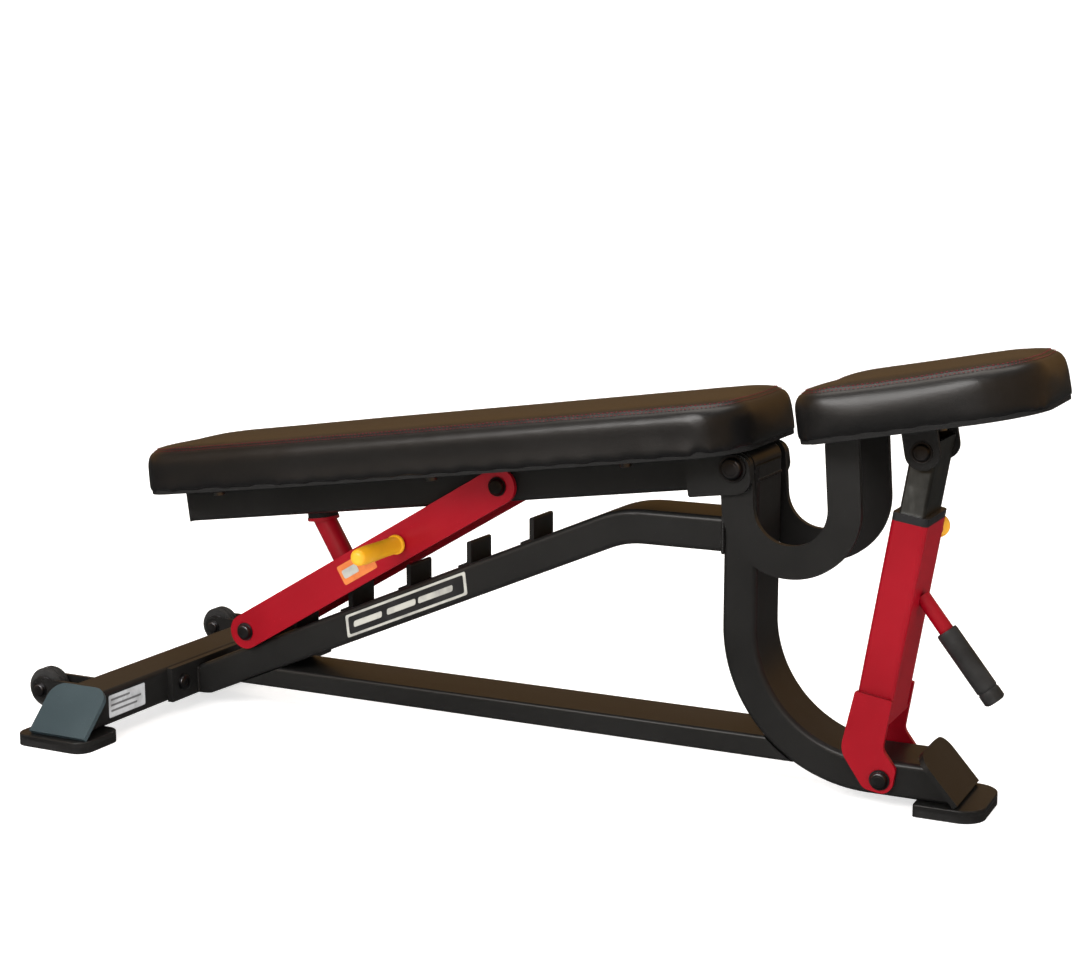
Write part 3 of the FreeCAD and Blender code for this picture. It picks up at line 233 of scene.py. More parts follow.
BLACK = powder_coat("powder_black", (0.0122, 0.0120, 0.0116, 1), (0.0078, 0.0077, 0.0075, 1), 0.42)
# Rear end plates: black powder coat given a lighter blue-grey colour and a blue-grey darker tone, a painted
# reflection of the light they face.
BLACK_ENDS_PAINTED_REFLECTION = powder_coat("powder_black_ends_painted_reflection", (0.046, 0.068, 0.077, 1), (0.031, 0.048, 0.056, 1), 0.36)
RED = powder_coat("powder_red", (0.285, 0.0018, 0.0095, 1), (0.215, 0.0012, 0.0065, 1), 0.32, 0.04, 0.2)
VINYL = vinyl()
UNDERLAY = underlay()
RUBBER = rubber("rubber_black", 0.0075)
GRIP = rubber("grip_black", 0.014, 0.5, 520)
TYRE = rubber("tyre_black", 0.016, 0.7, 300)
PLASTIC = plastic("plastic_black", (0.014, 0.014, 0.016, 1), 0.46)
YELLOW = plastic("yellow_plastic", (0.84, 0.40, 0.012, 1), 0.36, 0.03)
BOLT = zinc("bolt_dark_steel", (0.16, 0.16, 0.17, 1), 0.36, (30, 30, 30))
ZINC = zinc("zinc_tube", (0.30, 0.315, 0.31, 1), 0.38)
PIN_STEEL = zinc("pin_steel", (0.5, 0.5, 0.5, 1), 0.3, (30, 30, 30))
THREAD = thread()
WHITE_LABEL = printed("label_white", (0.50, 0.52, 0.54, 1), (0.30, 0.31, 0.32, 1))
GREY_LABEL = printed("label_grey", (0.14, 0.145, 0.15, 1), (0.1, 0.1, 0.105, 1))
ORANGE_LABEL = printed("label_orange", (0.62, 0.17, 0.03, 1), (0.45, 0.1, 0.02, 1))
DECAL_PALE = printed("decal_pale", (0.42, 0.42, 0.38, 1), (0.27, 0.27, 0.25, 1))
DECAL_DARK = printed("decal_dark", (0.012, 0.012, 0.013, 1), (0.02, 0.02, 0.021, 1))

SLOT_FINISH = {"powder_black": BLACK, "powder_red": RED, "rubber_black": RUBBER, "tyre_black": TYRE,
               "plastic_black": PLASTIC, "bolt_steel": BOLT, "zinc_tube": ZINC, "yellow_plastic": YELLOW,
               "plywood": UNDERLAY, "vinyl_black": VINYL}
# rear_end_plates take the black powder coat with its painted blue-grey reflection.
OWN_FINISH = {"rear_end_plates": BLACK_ENDS_PAINTED_REFLECTION, "carry_grip": GRIP, "pull_pin": PIN_STEEL, "pull_pin_housing": RED,
              "back_pad_screws": PIN_STEEL, "seat_pad_screws": PIN_STEEL}


def dress_nodes():
    """Give every carried-over node the finish of its slot, or its own."""
    slot_of = {part["node"]: part["material_slot"] for part in frame["record"]["subparts"]}
    for name, node in nodes.items():
        node.data.materials.clear()
        node.data.materials.append(OWN_FINISH.get(name, SLOT_FINISH[slot_of[name]]))


# ---------------------------------------------------------------- piece building
def make_piece(name, bm, body, finish, smooth=40):
    """Turn a bmesh into a finished piece that rides on a body."""
    mesh = bpy.data.meshes.new(name)
    bm.to_mesh(mesh)
    bm.free()
    piece = bpy.data.objects.new(name, mesh)
    bpy.context.scene.collection.objects.link(piece)
    mesh.materials.append(finish)
    shade(mesh, smooth)
    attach(piece, body)
    return piece


def shade(mesh, angle):
    """Smooth faces, with edges sharper than an angle left crisp."""
    mesh.shade_smooth()
    mesh.set_sharp_from_angle(angle=math.radians(angle))


def facing(direction):
    """Turn that takes +Z to a direction."""
    return Vector((0, 0, 1)).rotation_difference(Vector(direction).normalized()).to_matrix().to_4x4()


def spun(profile, base, direction, steps=48):
    """Round shape from a profile of (radius, distance) along a direction; the profile closes on itself."""
    bm = bmesh.new()
    verts = [bm.verts.new((radius, 0, distance)) for radius, distance in profile]
    edges = [bm.edges.new(pair) for pair in zip(verts, verts[1:] + verts[:1])]
    bmesh.ops.spin(bm, geom=verts + edges, cent=(0, 0, 0), axis=(0, 0, 1), angle=math.tau, steps=steps,
                   use_merge=True, use_duplicate=False)
    bmesh.ops.remove_doubles(bm, verts=bm.verts, dist=1e-6)
    bmesh.ops.dissolve_degenerate(bm, edges=bm.edges, dist=1e-7)
    bmesh.ops.recalc_face_normals(bm, faces=bm.faces)
    bmesh.ops.transform(bm, matrix=Matrix.Translation(base) @ facing(direction), verts=bm.verts)
    return bm


def bulge(profile, rounding, count=4):
    """Round the convex corners of a closed profile of (radius, distance)."""
    rounded = []
    points = [Vector(point) for point in profile]
    for before, corner, after in zip(points[-1:] + points, points, points[1:] + points[:1]):
        reach = min(rounding, 0.45 * (corner - before).length, 0.45 * (after - corner).length)
        if corner.x < 1e-6 or reach < 1e-6:
            rounded.append(tuple(corner))
            continue
        start = corner + (before - corner).normalized() * reach
        end = corner + (after - corner).normalized() * reach
        for step in range(count + 1):
            t = step / count
            rounded.append(tuple(start.lerp(corner, t).lerp(corner.lerp(end, t), t)))
    return rounded


# ---------------------------------------------------------------- pads
VOXEL = 5.5 * MM
SHRINK = 3.0 * MM
PRESS_FRAMES = 20
PRESS_CAP = 6 * MM
PRESS_SHARE = 0.3
SEAM_INSET = 14 * MM
BOARD_PROUD = 1.2 * MM


class PadFrame:
    """A pad's own directions: u along the bench, v across it and w out of the board."""

    def __init__(self, board):
        faces = nodes[board].data.polygons
        normals = [face.normal for face in faces if face.normal.z > 0.9]
        self.w = sum(normals, Vector()).normalized()
        self.v = Vector((0, 1, 0))
        self.u = self.v.cross(self.w)
        self.turn = Matrix((self.u, self.v, self.w))
        self.underside = min(self.inside(vert.co).z for vert in nodes[board].data.vertices)

    def inside(self, point):
        return self.turn @ (point - PIVOT)

    def outside(self, point):
        return self.turn.transposed() @ Vector(point) + PIVOT


def pad_rim(cushion, pad):
    """The cushion's outline as evenly spaced points in the pad's frame, in order round the pad."""
    points = [pad.inside(vert.co) for vert in nodes[cushion].data.vertices]
    floor = min(point.z for point in points)
    corners = [point for point in points if point.z < floor + 0.1 * MM]
    centre = sum(corners, Vector()) / len(corners)
    corners.sort(key=lambda point: math.atan2(point.y - centre.y, point.x - centre.x))
    rim = []
    spacing = 4 * MM
    for start, end in zip(corners, corners[1:] + corners[:1]):
        count = max(1, round((end - start).length / spacing))
        if (end - start).length > 0.2 * MM:
            rim += [start.lerp(end, step / count) for step in range(count)]
    return rim


def inward(rim, inset, lift):
    """A rim moved inside by a distance and lifted."""
    moved = []
    for before, point, after in zip(rim[-1:] + rim, rim, rim[1:] + rim[:1]):
        along = (after - before).normalized()
        moved.append(point + Vector((-along.y, along.x, 0)) * inset + Vector((0, 0, lift)))
    return moved


def remeshed(name, cushion, pad, floor):
    """The cushion's shape, drawn down over the board's edge, as an even closed mesh."""
    bm = bmesh.new()
    bm.from_mesh(nodes[cushion].data)
    bmesh.ops.remove_doubles(bm, verts=bm.verts, dist=0.02 * MM)
    under = [vert for vert in bm.verts if pad.inside(vert.co).z < floor + 0.1 * MM]
    bmesh.ops.translate(bm, verts=under, vec=-pad.w * (floor - pad.underside - BOARD_PROUD))
    mesh = bpy.data.meshes.new(name)
    bm.to_mesh(mesh)
    bm.free()
    piece = bpy.data.objects.new(name, mesh)
    bpy.context.scene.collection.objects.link(piece)
    even = piece.modifiers.new("even", "REMESH")
    even.mode = "VOXEL"
    even.voxel_size = VOXEL
    settle(piece)
    return piece


def settle(piece):
    """Apply all of a piece's modifiers."""
    bpy.context.view_layer.update()
    shape = piece.evaluated_get(bpy.context.evaluated_depsgraph_get())
    mesh = bpy.data.meshes.new_from_object(shape)
    piece.modifiers.clear()
    old = piece.data
    piece.data = mesh
    mesh.name = piece.name
    bpy.data.meshes.remove(old)


def shrink(piece, pad, floor):
    """Draw the foam in all round, but not off the board."""
    mesh = piece.data
    normals = [vert.normal.copy() for vert in mesh.vertices]
    for vert, normal in zip(mesh.vertices, normals):
        local = pad.inside(vert.co)
        ease = min(1, max(0, (local.z - floor) / (12 * MM)))
        vert.co -= normal * SHRINK * ease
    mesh.update()


def press(piece, pad, floor):
    """Blow the cover out over the foam, held at the board, and cap how far it moves."""
    held = piece.vertex_groups.new(name="held")
    mesh = piece.data
    for vert in mesh.vertices:
        rise = pad.inside(vert.co).z - floor
        if rise < 7 * MM:
            held.add([vert.index], min(1, max(0, 1.6 - rise / (6 * MM))), "REPLACE")
    rest = [vert.co.copy() for vert in mesh.vertices]
    cloth = piece.modifiers.new("press", "CLOTH")
    cloth.settings.quality = 5
    cloth.settings.mass = 0.4
    cloth.settings.tension_stiffness = 14
    cloth.settings.compression_stiffness = 14
    cloth.settings.shear_stiffness = 8
    cloth.settings.bending_stiffness = 3
    cloth.settings.use_pressure = True
    cloth.settings.uniform_pressure_force = 4
    cloth.settings.effector_weights.gravity = 0
    cloth.settings.vertex_group_mass = "held"
    cloth.point_cache.frame_start = 1
    cloth.point_cache.frame_end = PRESS_FRAMES
    scene = bpy.context.scene
    for step in range(1, PRESS_FRAMES + 1):
        scene.frame_set(step)
    settle(piece)
    scene.frame_set(1)
    piece.vertex_groups.clear()
    for vert, start in zip(piece.data.vertices, rest):
        move = vert.co - start
        vert.co = start + move * (PRESS_SHARE * min(1, PRESS_CAP / max(move.length, 1e-9)))
    piece.data.update()


def crown(piece, pad, rim, floor, rise):
    """Lift the top a little towards the middle."""
    tree = KDTree(len(rim))
    for index, point in enumerate(rim):
        tree.insert((point.x, point.y, 0), index)
    tree.balance()
    for vert in piece.data.vertices:
        local = pad.inside(vert.co)
        depth = tree.find((local.x, local.y, 0))[2]
        high = min(1, max(0, (local.z - floor - 20 * MM) / (24 * MM)))
        local.z += rise * high * min(1, depth / (80 * MM)) ** 0.6
        vert.co = pad.outside(local)
    piece.data.update()


def refine(piece):
    """Ease small puckers out of the cover, then one level of subdivision."""
    ease = piece.modifiers.new("ease", "SMOOTH")
    ease.factor = 0.5
    ease.iterations = 14
    smooth = piece.modifiers.new("smooth", "SUBSURF")
    smooth.levels = smooth.render_levels = 1
    settle(piece)


def tuck(piece, line, reach, depth):
    """Draw the cover in along a sewn line."""
    tree = KDTree(len(line))
    for index, (point, _) in enumerate(line):
        tree.insert(point, index)
    tree.balance()
    for vert in piece.data.vertices:
        _, index, distance = tree.find(vert.co)
        if distance < reach:
            vert.co -= line[index][1] * depth * (0.5 + 0.5 * math.cos(math.pi * distance / reach))
    piece.data.update()


def sewn_line(piece, pad, rim, inset):
    """Points and normals on the pad's top, a distance inside its outline."""
    tree = BVHTree.FromPolygons([vert.co for vert in piece.data.vertices],
                                [tuple(face.vertices) for face in piece.data.polygons])
    line = []
    for point in inward(rim, inset, 0):
        hit, normal, _, _ = tree.ray_cast(pad.outside((point.x, point.y, 0.3)), -pad.w)
        if hit:
            line.append((hit, normal))
    return line


def stitches(name, line, body, lift, long=3.4 * MM, thick=0.55 * MM, gap=5.2 * MM):
    """Thread stitches along a sewn line."""
    bm = bmesh.new()
    walked = 0.0
    for (start, normal), (end, _) in zip(line, line[1:] + line[:1]):
        span = end - start
        while walked < span.length:
            place = start + span * (walked / max(span.length, 1e-9)) + normal * lift
            along = span.normalized()
            side = normal.cross(along).normalized()
            turn = Matrix((along, side, along.cross(side))).transposed().to_4x4()
            size = Matrix.Diagonal((long / 2, thick, thick, 1))
            bmesh.ops.create_icosphere(bm, subdivisions=1, radius=1, matrix=Matrix.Translation(place) @ turn @ size)
            walked += gap
        walked -= span.length
    return make_piece(name, bm, body, THREAD, 180)


def upholster(name, cushion, board, body, rise):
    """A pad: pressed cover, sewn top seam, two rows of stitches and staples under the board."""
    pad = PadFrame(board)
    rim = pad_rim(cushion, pad)
    floor = rim[0].z
    piece = remeshed(name, cushion, pad, floor)
    shrink(piece, pad, pad.underside)
    press(piece, pad, pad.underside)
    crown(piece, pad, rim, floor, rise)
    refine(piece)
    seam = sewn_line(piece, pad, rim, SEAM_INSET)
    tuck(piece, seam, 5 * MM, 0.8 * MM)
    rows = sewn_line(piece, pad, rim, SEAM_INSET + 5 * MM)
    piece.data.materials.clear()
    piece.data.materials.append(VINYL)
    piece.data.shade_smooth()
    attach(piece, body)
    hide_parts(cushion)
    stitches(name + "_stitches", rows, body, 0.25 * MM)
    stitches(name + "_seam_thread", seam, body, 0.15 * MM, 3.0 * MM, 0.4 * MM, 4.6 * MM)
    staples(name + "_staples", rim, pad, body)


def staples(name, rim, pad, body):
    """Wire staples that hold the cover under the board."""
    line = inward(rim, 13 * MM, 0)
    bm = bmesh.new()
    for point, ahead in zip(line[::7], line[1::7]):
        along = (ahead - point).normalized()
        place = pad.outside((point.x, point.y, pad.underside - 0.2 * MM))
        turn = Matrix.Rotation(math.atan2(along.y, along.x), 4, "Z")
        size = Matrix.Diagonal((10 * MM, 1.1 * MM, 0.5 * MM, 1))
        space = Matrix.Translation(place) @ pad.turn.transposed().to_4x4() @ turn @ size
        bmesh.ops.create_cube(bm, size=1, matrix=space)
    return make_piece(name, bm, body, BOLT, 30)


# ---------------------------------------------------------------- fittings
TUBE_HALF = 40 * MM
SPINE_DROP = 80 * MM
SPINE_KNEE = 143 * MM
SPINE_SLOPE = math.radians(23.2)
BEAD = 2.4 * MM
SMALL_HEAD = 9.6 * MM
CROSS_BOLTS = (("hinge_bolt", "frame", 12.6 * MM), ("link_bolt", "back", SMALL_HEAD),
               ("ladder_pin", "link", SMALL_HEAD), ("strut_top_bolt", "seat", SMALL_HEAD),
               ("strut_foot_bolt", "frame", SMALL_HEAD))


def socket_head(name, centre, direction, radius, body):
    """Domed bolt head with a hexagon socket, standing on its washer."""
    sides = 48
    key = 0.5 * radius
    bm = bmesh.new()
    ring = bmesh.ops.create_circle(bm, segments=sides, radius=radius, cap_ends=True)["verts"]
    top = next(iter(ring[0].link_faces))
    for height, shrinkage in ((0.22, 0.0), (0.2, 0.07), (0.14, 0.17), (0.07, 0.2)):
        grown = bmesh.ops.extrude_discrete_faces(bm, faces=[top])["faces"]
        top = grown[0]
        reach = max(vert.co.to_2d().length for vert in top.verts)
        for vert in top.verts:
            vert.co.z += height * radius
            vert.co.xy = vert.co.xy * ((reach - shrinkage * radius) / reach)
    bmesh.ops.inset_individual(bm, faces=[top], thickness=0.01 * MM)
    for vert in top.verts:
        angle = math.atan2(vert.co.y, vert.co.x)
        fold = (angle + math.tau) % (math.pi / 3) - math.pi / 6
        vert.co.xy = vert.co.xy.normalized() * key * math.cos(math.pi / 6) / math.cos(fold)
    well = bmesh.ops.extrude_discrete_faces(bm, faces=[top])["faces"][0]
    for vert in well.verts:
        vert.co.z -= 0.42 * radius
    bmesh.ops.remove_doubles(bm, verts=bm.verts, dist=1e-7)
    bmesh.ops.recalc_face_normals(bm, faces=bm.faces)
    bmesh.ops.transform(bm, matrix=Matrix.Translation(centre) @ facing(direction), verts=bm.verts)
    return make_piece(name, bm, body, BOLT, 32)


def node_middle(name):
    low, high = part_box(name)
    return (Vector(low) + Vector(high)) / 2


def bolt_heads():
    """Socket heads on the cross bolts and the flange bolts."""
    for name, body, radius in CROSS_BOLTS:
        centre = PIVOT if name == "hinge_bolt" else node_middle(name)
        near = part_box(name)[0][1] + 0.62 * radius
        socket_head(name + "_socket", (centre.x, near, centre.z), (0, -1, 0), radius, body)
    low, high = (Vector(corner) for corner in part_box("flange_bolts"))
    for side, y in (("near", low.y + SMALL_HEAD), ("far", high.y - SMALL_HEAD)):
        place = Vector((high.x - 5 * MM, y, (low.z + high.z) / 2))
        socket_head("flange_bolt_socket_" + side, place, (1, 0, 0), 9.4 * MM, "frame")


def weld(name, start, end, seed):
    """Rippled weld bead on the frame, along a straight run."""
    drift = random.Random(seed)
    bm = bmesh.new()
    start, end = Vector(start), Vector(end)
    count = max(2, round((end - start).length / (0.75 * BEAD)))
    along = (end - start).normalized()
    for step in range(count + 1):
        place = start.lerp(end, step / count)
        size = BEAD * drift.uniform(0.88, 1.1)
        squeeze = Matrix.Diagonal((size, size, 0.72 * size, 1))
        bmesh.ops.create_icosphere(bm, subdivisions=2, radius=1,
                                   matrix=Matrix.Translation(place) @ facing(along) @ squeeze)
    return make_piece(name, bm, "frame", BLACK, 180)


def weld_seams():
    """Beads where tubes and plates of the frame meet."""
    rear = PIVOT.x - 20 * MM
    spine_z = PIVOT.z - SPINE_DROP
    hub = PIVOT.z - 16 * MM
    flange_low, flange_high = (Vector(corner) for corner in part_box("spine_flange"))
    bar_low, bar_high = (Vector(corner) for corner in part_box("rear_crossbar"))
    for side, label in ((-1, "near"), (1, "far")):
        y = side * TUBE_HALF
        weld("weld_spine_" + label, (rear, y, spine_z - 19 * MM), (rear, y, spine_z + 19 * MM), side + 5)
    for label, rise, seed in (("top", 20 * MM, 3), ("under", -20 * MM, 4)):
        weld("weld_spine_" + label, (rear, -TUBE_HALF, spine_z + rise), (rear, TUBE_HALF, spine_z + rise), seed)
    for side, label in ((-1, "rear"), (1, "front")):
        x = PIVOT.x + side * 19 * MM
        weld("weld_hub_" + label, (x, -TUBE_HALF + 4 * MM, hub), (x, TUBE_HALF - 4 * MM, hub), side + 9)
    for side, label in ((-1, "near"), (1, "far")):
        y = side * TUBE_HALF
        weld("weld_flange_" + label, (flange_high.x, y, flange_low.z + 3 * MM),
             (flange_high.x, y, flange_low.z + 33 * MM), side + 12)
    for side, label, end in ((-1, "near", bar_low.y), (1, "far", bar_high.y)):
        weld("weld_end_plate_" + label, (bar_high.x, end - side * 1 * MM, bar_low.z + 2 * MM),
             (bar_high.x, end - side * 44 * MM, bar_high.z - 2 * MM), side + 20)


def wheel_tyres():
    """Grooved solid tyres in place of the plain ones."""
    for side in ("near", "far"):
        low, high = (Vector(corner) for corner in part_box("wheel_tyre_" + side))
        middle = (low + high) / 2
        outer = (high.z - low.z) / 2
        inner = outer - 9 * MM
        half = (high.y - low.y) / 2
        profile = [(inner, -half), (outer - 1.5 * MM, -half), (outer, -half + 3 * MM)]
        for groove in (-3.5 * MM, 3.5 * MM):
            profile += [(outer, groove - 1 * MM), (outer - 1.2 * MM, groove - 0.6 * MM),
                        (outer - 1.2 * MM, groove + 0.6 * MM), (outer, groove + 1 * MM)]
        profile += [(outer, half - 3 * MM), (outer - 1.5 * MM, half), (inner, half)]
        bm = spun(profile, middle, (0, 1, 0), 64)
        tyre = make_piece("tyre_" + side, bm, "wheel_" + side, TYRE, 35)
        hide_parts("wheel_tyre_" + side)
        wheel_cap(side, middle, half)


def wheel_cap(side, middle, half):
    """Hub face with a raised ring on the outer side of a wheel."""
    outward = -1 if side == "near" else 1
    base = middle + Vector((0, outward * (half + 1.6 * MM), 0))
    profile = bulge([(9.6 * MM, -1 * MM), (14.8 * MM, -1 * MM), (14.8 * MM, 0.9 * MM), (13 * MM, 0.9 * MM),
                     (12.4 * MM, 0.2 * MM), (9.6 * MM, 0.2 * MM)], 0.5 * MM)
    make_piece("wheel_ring_" + side, spun(profile, base, (0, outward, 0), 48), "wheel_" + side, PLASTIC,
               35)


def hand_peg():
    """Smooth yellow sleeve with a flared root and a rounded tip."""
    low, high = (Vector(corner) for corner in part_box("hand_peg_grip"))
    middle = (low + high) / 2
    radius = (high.x - low.x) / 2
    long = high.y - low.y
    base = Vector((middle.x, high.y, middle.z))
    profile = [(0, 0.1 * MM), (radius, 0.1 * MM), (radius, 5 * MM), (radius - 1.6 * MM, 7 * MM),
               (radius - 1.6 * MM, 0.45 * long), (radius - 1.0 * MM, 0.8 * long), (radius - 2.2 * MM, long - 4 * MM),
               (0.45 * radius, long - 0.2 * MM), (0, long - 0.2 * MM)]
    peg = make_piece("peg_sleeve", spun(bulge(profile, 3 * MM), base, (0, -1, 0)), "link", YELLOW,
                     50)
    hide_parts("hand_peg_grip")


def carry_grip():
    """Smooth rubber grip on the carry handle, with one groove near its end."""
    mesh = nodes["carry_grip"].data
    rod_mesh = nodes["carry_rod"].data
    grip_middle = sum((vert.co for vert in mesh.vertices), Vector()) / len(mesh.vertices)
    rod_middle = sum((vert.co for vert in rod_mesh.vertices), Vector()) / len(rod_mesh.vertices)
    along = (grip_middle - rod_middle).normalized()
    along.y = 0
    along.normalize()
    reach = [(vert.co - grip_middle).dot(along) for vert in mesh.vertices]
    base = grip_middle + along * min(reach)
    base.y = 0
    long = max(reach) - min(reach)
    outer = max((vert.co - grip_middle).cross(along).length for vert in mesh.vertices)
    profile = [(0, 0.05 * MM), (outer - 0.6 * MM, 0.05 * MM), (outer - 0.1 * MM, 3 * MM),
               (outer - 0.1 * MM, long - 17 * MM), (outer - 1.1 * MM, long - 16.2 * MM),
               (outer - 1.1 * MM, long - 14.8 * MM), (outer - 0.1 * MM, long - 14 * MM),
               (outer - 0.1 * MM, long - 2.4 * MM), (outer - 3 * MM, long - 0.2 * MM), (0, long - 0.2 * MM)]
    grip = make_piece("handle_grip", spun(bulge(profile, 0.8 * MM, 2), base, along), "strut", GRIP,
                      40)
    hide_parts("carry_grip")


def film(name, corners, outward, body, finish, thick=0.25 * MM, round_by=0.0):
    """Thin label or decal from its corners, standing off the surface it is stuck to."""
    bm = bmesh.new()
    outward = Vector(outward).normalized()
    verts = [bm.verts.new(Vector(corner) + outward * 0.08 * MM) for corner in corners]
    face = bm.faces.new(verts)
    if face.normal.dot(outward) < 0:
        face.normal_flip()
    if round_by:
        bmesh.ops.bevel(bm, geom=bm.verts[:], offset=round_by, segments=5, profile=0.5, affect="VERTICES",
                        material=-1)
    face = bm.faces[:][0]
    grown = bmesh.ops.extrude_face_region(bm, geom=[face])["geom"]
    bmesh.ops.translate(bm, verts=[item for item in grown if isinstance(item, bmesh.types.BMVert)],
                        vec=outward * thick)
    bmesh.ops.recalc_face_normals(bm, faces=bm.faces)
    return make_piece(name, bm, body, finish, 30)


def labels():
    """A plain white label on the crossbar, with blank grey bars in place of print."""
    low, high = (Vector(corner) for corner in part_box("rear_crossbar"))
    x = high.x
    z0, z1 = low.z + 9 * MM, low.z + 37 * MM
    y0, y1 = -211 * MM, -141 * MM
    film("label_crossbar", [(x, y0, z0), (x, y1, z0), (x, y1, z1), (x, y0, z1)], (1, 0, 0), "frame", WHITE_LABEL,
         round_by=2 * MM)
    for row, (left, right) in enumerate(((4, 40), (4, 62), (4, 54))):
        z = z1 - (6 + 7 * row) * MM
        film(f"label_crossbar_bar_{row + 1}",
             [(x + 0.3 * MM, y0 + left * MM, z - 1.3 * MM), (x + 0.3 * MM, y0 + right * MM, z - 1.3 * MM),
              (x + 0.3 * MM, y0 + right * MM, z + 1.3 * MM), (x + 0.3 * MM, y0 + left * MM, z + 1.3 * MM)],
             (1, 0, 0), "frame", GREY_LABEL, 0.1 * MM)


def strip(name, start, end, half, y, body, finish, slant=0.0, lift=0.0):
    """Upright label on a near face, along a line in the side view."""
    start, end = Vector(start), Vector(end)
    along = (end - start).normalized()
    up = Vector((-along.z, 0, along.x))
    up = up if up.z > 0 else -up
    lean = along * slant
    corners = [start - up * half - lean, end - up * half - lean, end + up * half + lean, start + up * half + lean]
    corners = [Vector((corner.x, y - lift, corner.z)) for corner in corners]
    return film(name, corners, (0, -1, 0), body, finish, 0.2 * MM, 2.5 * MM)


def side_decals():
    """A plain banded decal on the sloping spine and a blank orange label on the near link plate."""
    along = Vector((math.cos(SPINE_SLOPE), 0, math.sin(SPINE_SLOPE)))
    knee = Vector((PIVOT.x - SPINE_KNEE, 0, PIVOT.z - SPINE_DROP))
    middle = knee - along * 0.312
    y = -TUBE_HALF
    strip("decal_band", middle - along * 0.092, middle + along * 0.092, 13.5 * MM, y, "frame", DECAL_PALE, 4 * MM)
    strip("decal_band_inner", middle - along * 0.088, middle + along * 0.088, 10.5 * MM, y, "frame", DECAL_DARK,
          3.2 * MM, 0.25 * MM)
    for index, (offset, half_long) in enumerate(((-0.058, 0.022), (-0.006, 0.022), (0.046, 0.026))):
        centre = middle + along * offset
        strip(f"decal_bar_{index + 1}", centre - along * half_long, centre + along * half_long, 3.6 * MM, y, "frame",
              DECAL_PALE, 1.5 * MM, 0.5 * MM)
    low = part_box("link_plate_near")[0]
    pin = node_middle("ladder_pin")
    arm = (LINK_PIVOT - Vector((pin.x, 0, pin.z))).normalized()
    base = Vector((pin.x, 0, pin.z))
    strip("label_link", base + arm * 0.168, base + arm * 0.222, 12.5 * MM, low[1], "link", ORANGE_LABEL)
    strip("label_link_bar", base + arm * 0.172, base + arm * 0.196, 5.5 * MM, low[1], "link", DECAL_PALE, 0,
          0.25 * MM)


# ---------------------------------------------------------------- studio
AIR_STOPS = ((0.0, (0.048, 0.047, 0.044, 1)), (0.1, (0.31, 0.165, 0.055, 1)), (0.5, (0.26, 0.15, 0.06, 1)),
             (0.85, (0.11, 0.105, 0.10, 1)))
FLOOR_SWEEP = ((0, 0), (4.6, 0), (5.4, 0.12), (5.9, 0.6), (6.1, 1.4), (6.1, 4.2))
SUBJECT = (0.0, 0.0, 0.25)
SOFT_BOXES = (("key_box", (-0.6, -3.2, 2.3), (2.6, 1.3), 95, (1.0, 0.99, 0.98), True),
              ("fill_box", (3.2, -1.6, 1.7), (1.6, 1.6), 18, (0.95, 0.98, 1.0), False),
              ("top_box", (0.0, 0.4, 3.4), (3.6, 2.6), 60, (1.0, 0.93, 0.86), True),
              ("back_box", (-1.8, 2.9, 1.6), (2.2, 1.2), 25, (1.0, 0.96, 0.92), False))
CAMERA_OFFSET = 0.718
CAMERA_Y = -1.990
CAMERA_Z = 0.696
CAMERA_TILT = math.radians(80.41)
CAMERA_TURN = math.radians(26.33)
LENS = 63.4


def soft_light(name, place, size, power, colour, glossy):
    """A soft box aimed at the bench; reflections may leave it out."""
    light = bpy.data.lights.new(name, "AREA")
    light.shape = "RECTANGLE"
    light.size, light.size_y = size
    light.energy = power
    light.color = colour
    holder = bpy.data.objects.new(name, light)
    bpy.context.scene.collection.objects.link(holder)
    holder.location = place
    holder.rotation_euler = (Vector(SUBJECT) - Vector(place)).to_track_quat("-Z", "Y").to_euler()
    holder.visible_glossy = glossy


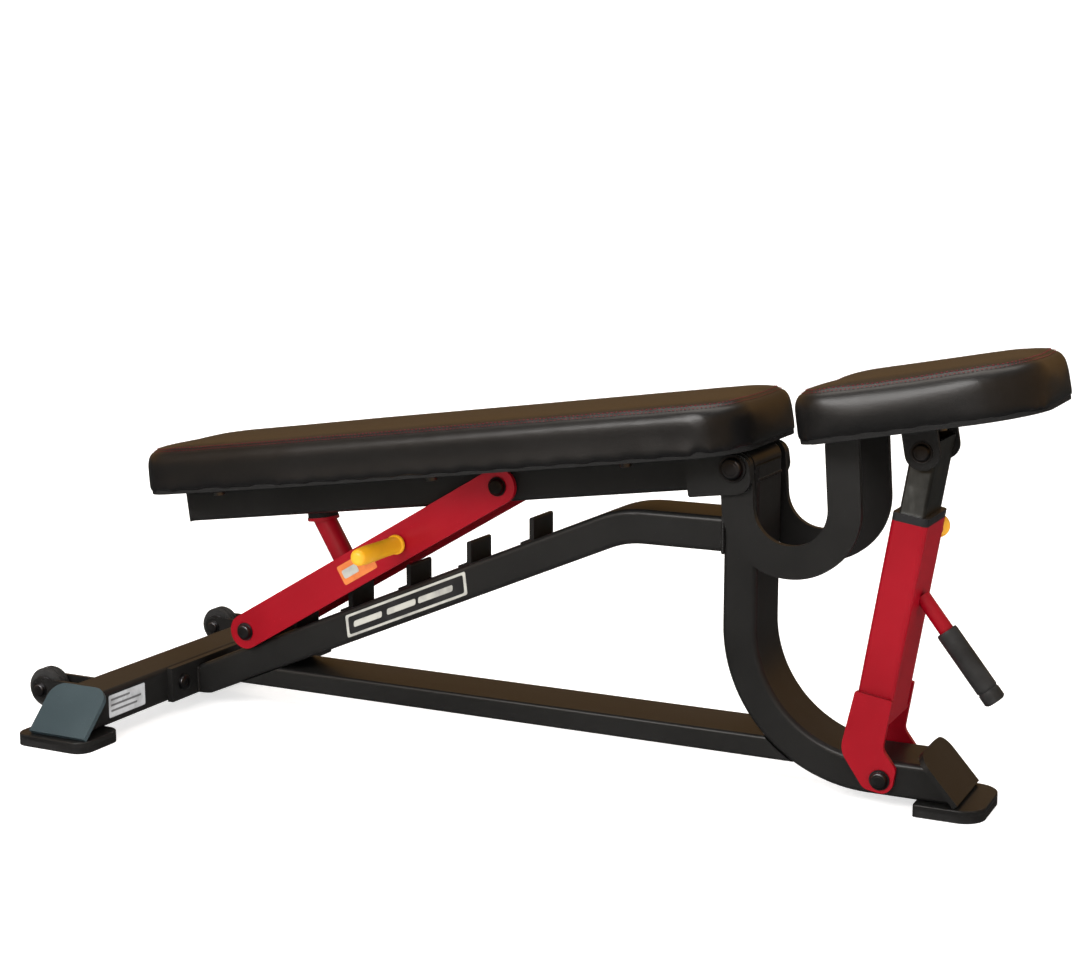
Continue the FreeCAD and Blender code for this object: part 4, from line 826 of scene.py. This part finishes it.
def backdrop():
    """Pale floor that sweeps up to a round wall."""
    bm = bmesh.new()
    verts = [bm.verts.new((radius, 0, height)) for radius, height in FLOOR_SWEEP]
    edges = [bm.edges.new(pair) for pair in zip(verts, verts[1:])]
    bmesh.ops.spin(bm, geom=verts + edges, cent=(0, 0, 0), axis=(0, 0, 1), angle=math.tau, steps=64, use_merge=True)
    bmesh.ops.remove_doubles(bm, verts=bm.verts, dist=1e-5)
    bmesh.ops.recalc_face_normals(bm, faces=bm.faces)
    mesh = bpy.data.meshes.new("studio_floor")
    bm.to_mesh(mesh)
    bm.free()
    mesh.shade_smooth()
    floor = bpy.data.objects.new("studio_floor", mesh)
    bpy.context.scene.collection.objects.link(floor)
    floor.visible_glossy = False
    paint = Finish("floor_paint", Roughness=0.9, Specular_IOR_Level=0.1, Emission_Strength=0.62)
    paint.set(Base_Color=paint.blend(paint.noise(3, 2), grey(0.80), grey(0.82)), Emission_Color=grey(1))
    mesh.materials.append(paint.material)


def air():
    """Dim warm surround, lighter towards the top."""
    world = bpy.data.worlds.new("studio_air")
    bpy.context.scene.world = world
    world.use_nodes = True
    tree = world.node_tree
    up = tree.nodes.new("ShaderNodeTexCoord")
    split = tree.nodes.new("ShaderNodeSeparateXYZ")
    ramp = tree.nodes.new("ShaderNodeValToRGB")
    while len(ramp.color_ramp.elements) < len(AIR_STOPS):
        ramp.color_ramp.elements.new(0.5)
    for element, (height, colour) in zip(ramp.color_ramp.elements, AIR_STOPS):
        element.position = height
        element.color = colour
    tree.links.new(up.outputs["Generated"], split.inputs[0])
    tree.links.new(split.outputs["Z"], ramp.inputs[0])
    tree.links.new(ramp.outputs[0], tree.nodes["Background"].inputs["Color"])
    tree.nodes["Background"].inputs["Strength"].default_value = 1.0


def studio():
    """Backdrop, air, soft boxes and the camera."""
    backdrop()
    air()
    for box in SOFT_BOXES:
        soft_light(*box)
    bpy.context.scene.view_settings.view_transform = "Standard"
    lens = bpy.data.cameras.new("camera")
    lens.sensor_fit = "HORIZONTAL"
    lens.sensor_width = 36
    lens.lens = LENS
    camera = bpy.data.objects.new("camera", lens)
    bpy.context.scene.collection.objects.link(camera)
    camera.location = (PIVOT.x + CAMERA_OFFSET, CAMERA_Y, CAMERA_Z)
    camera.rotation_euler = (CAMERA_TILT, 0, CAMERA_TURN)
    bpy.context.scene.camera = camera


# ---------------------------------------------------------------- the bench
dress_nodes()
upholster("back_pad", "back_cushion", "back_board", "back", 3.5 * MM)
upholster("seat_pad", "seat_cushion", "seat_board", "seat", 3.5 * MM)
bolt_heads()
weld_seams()
wheel_tyres()
hand_peg()
carry_grip()
labels()
side_decals()
studio()
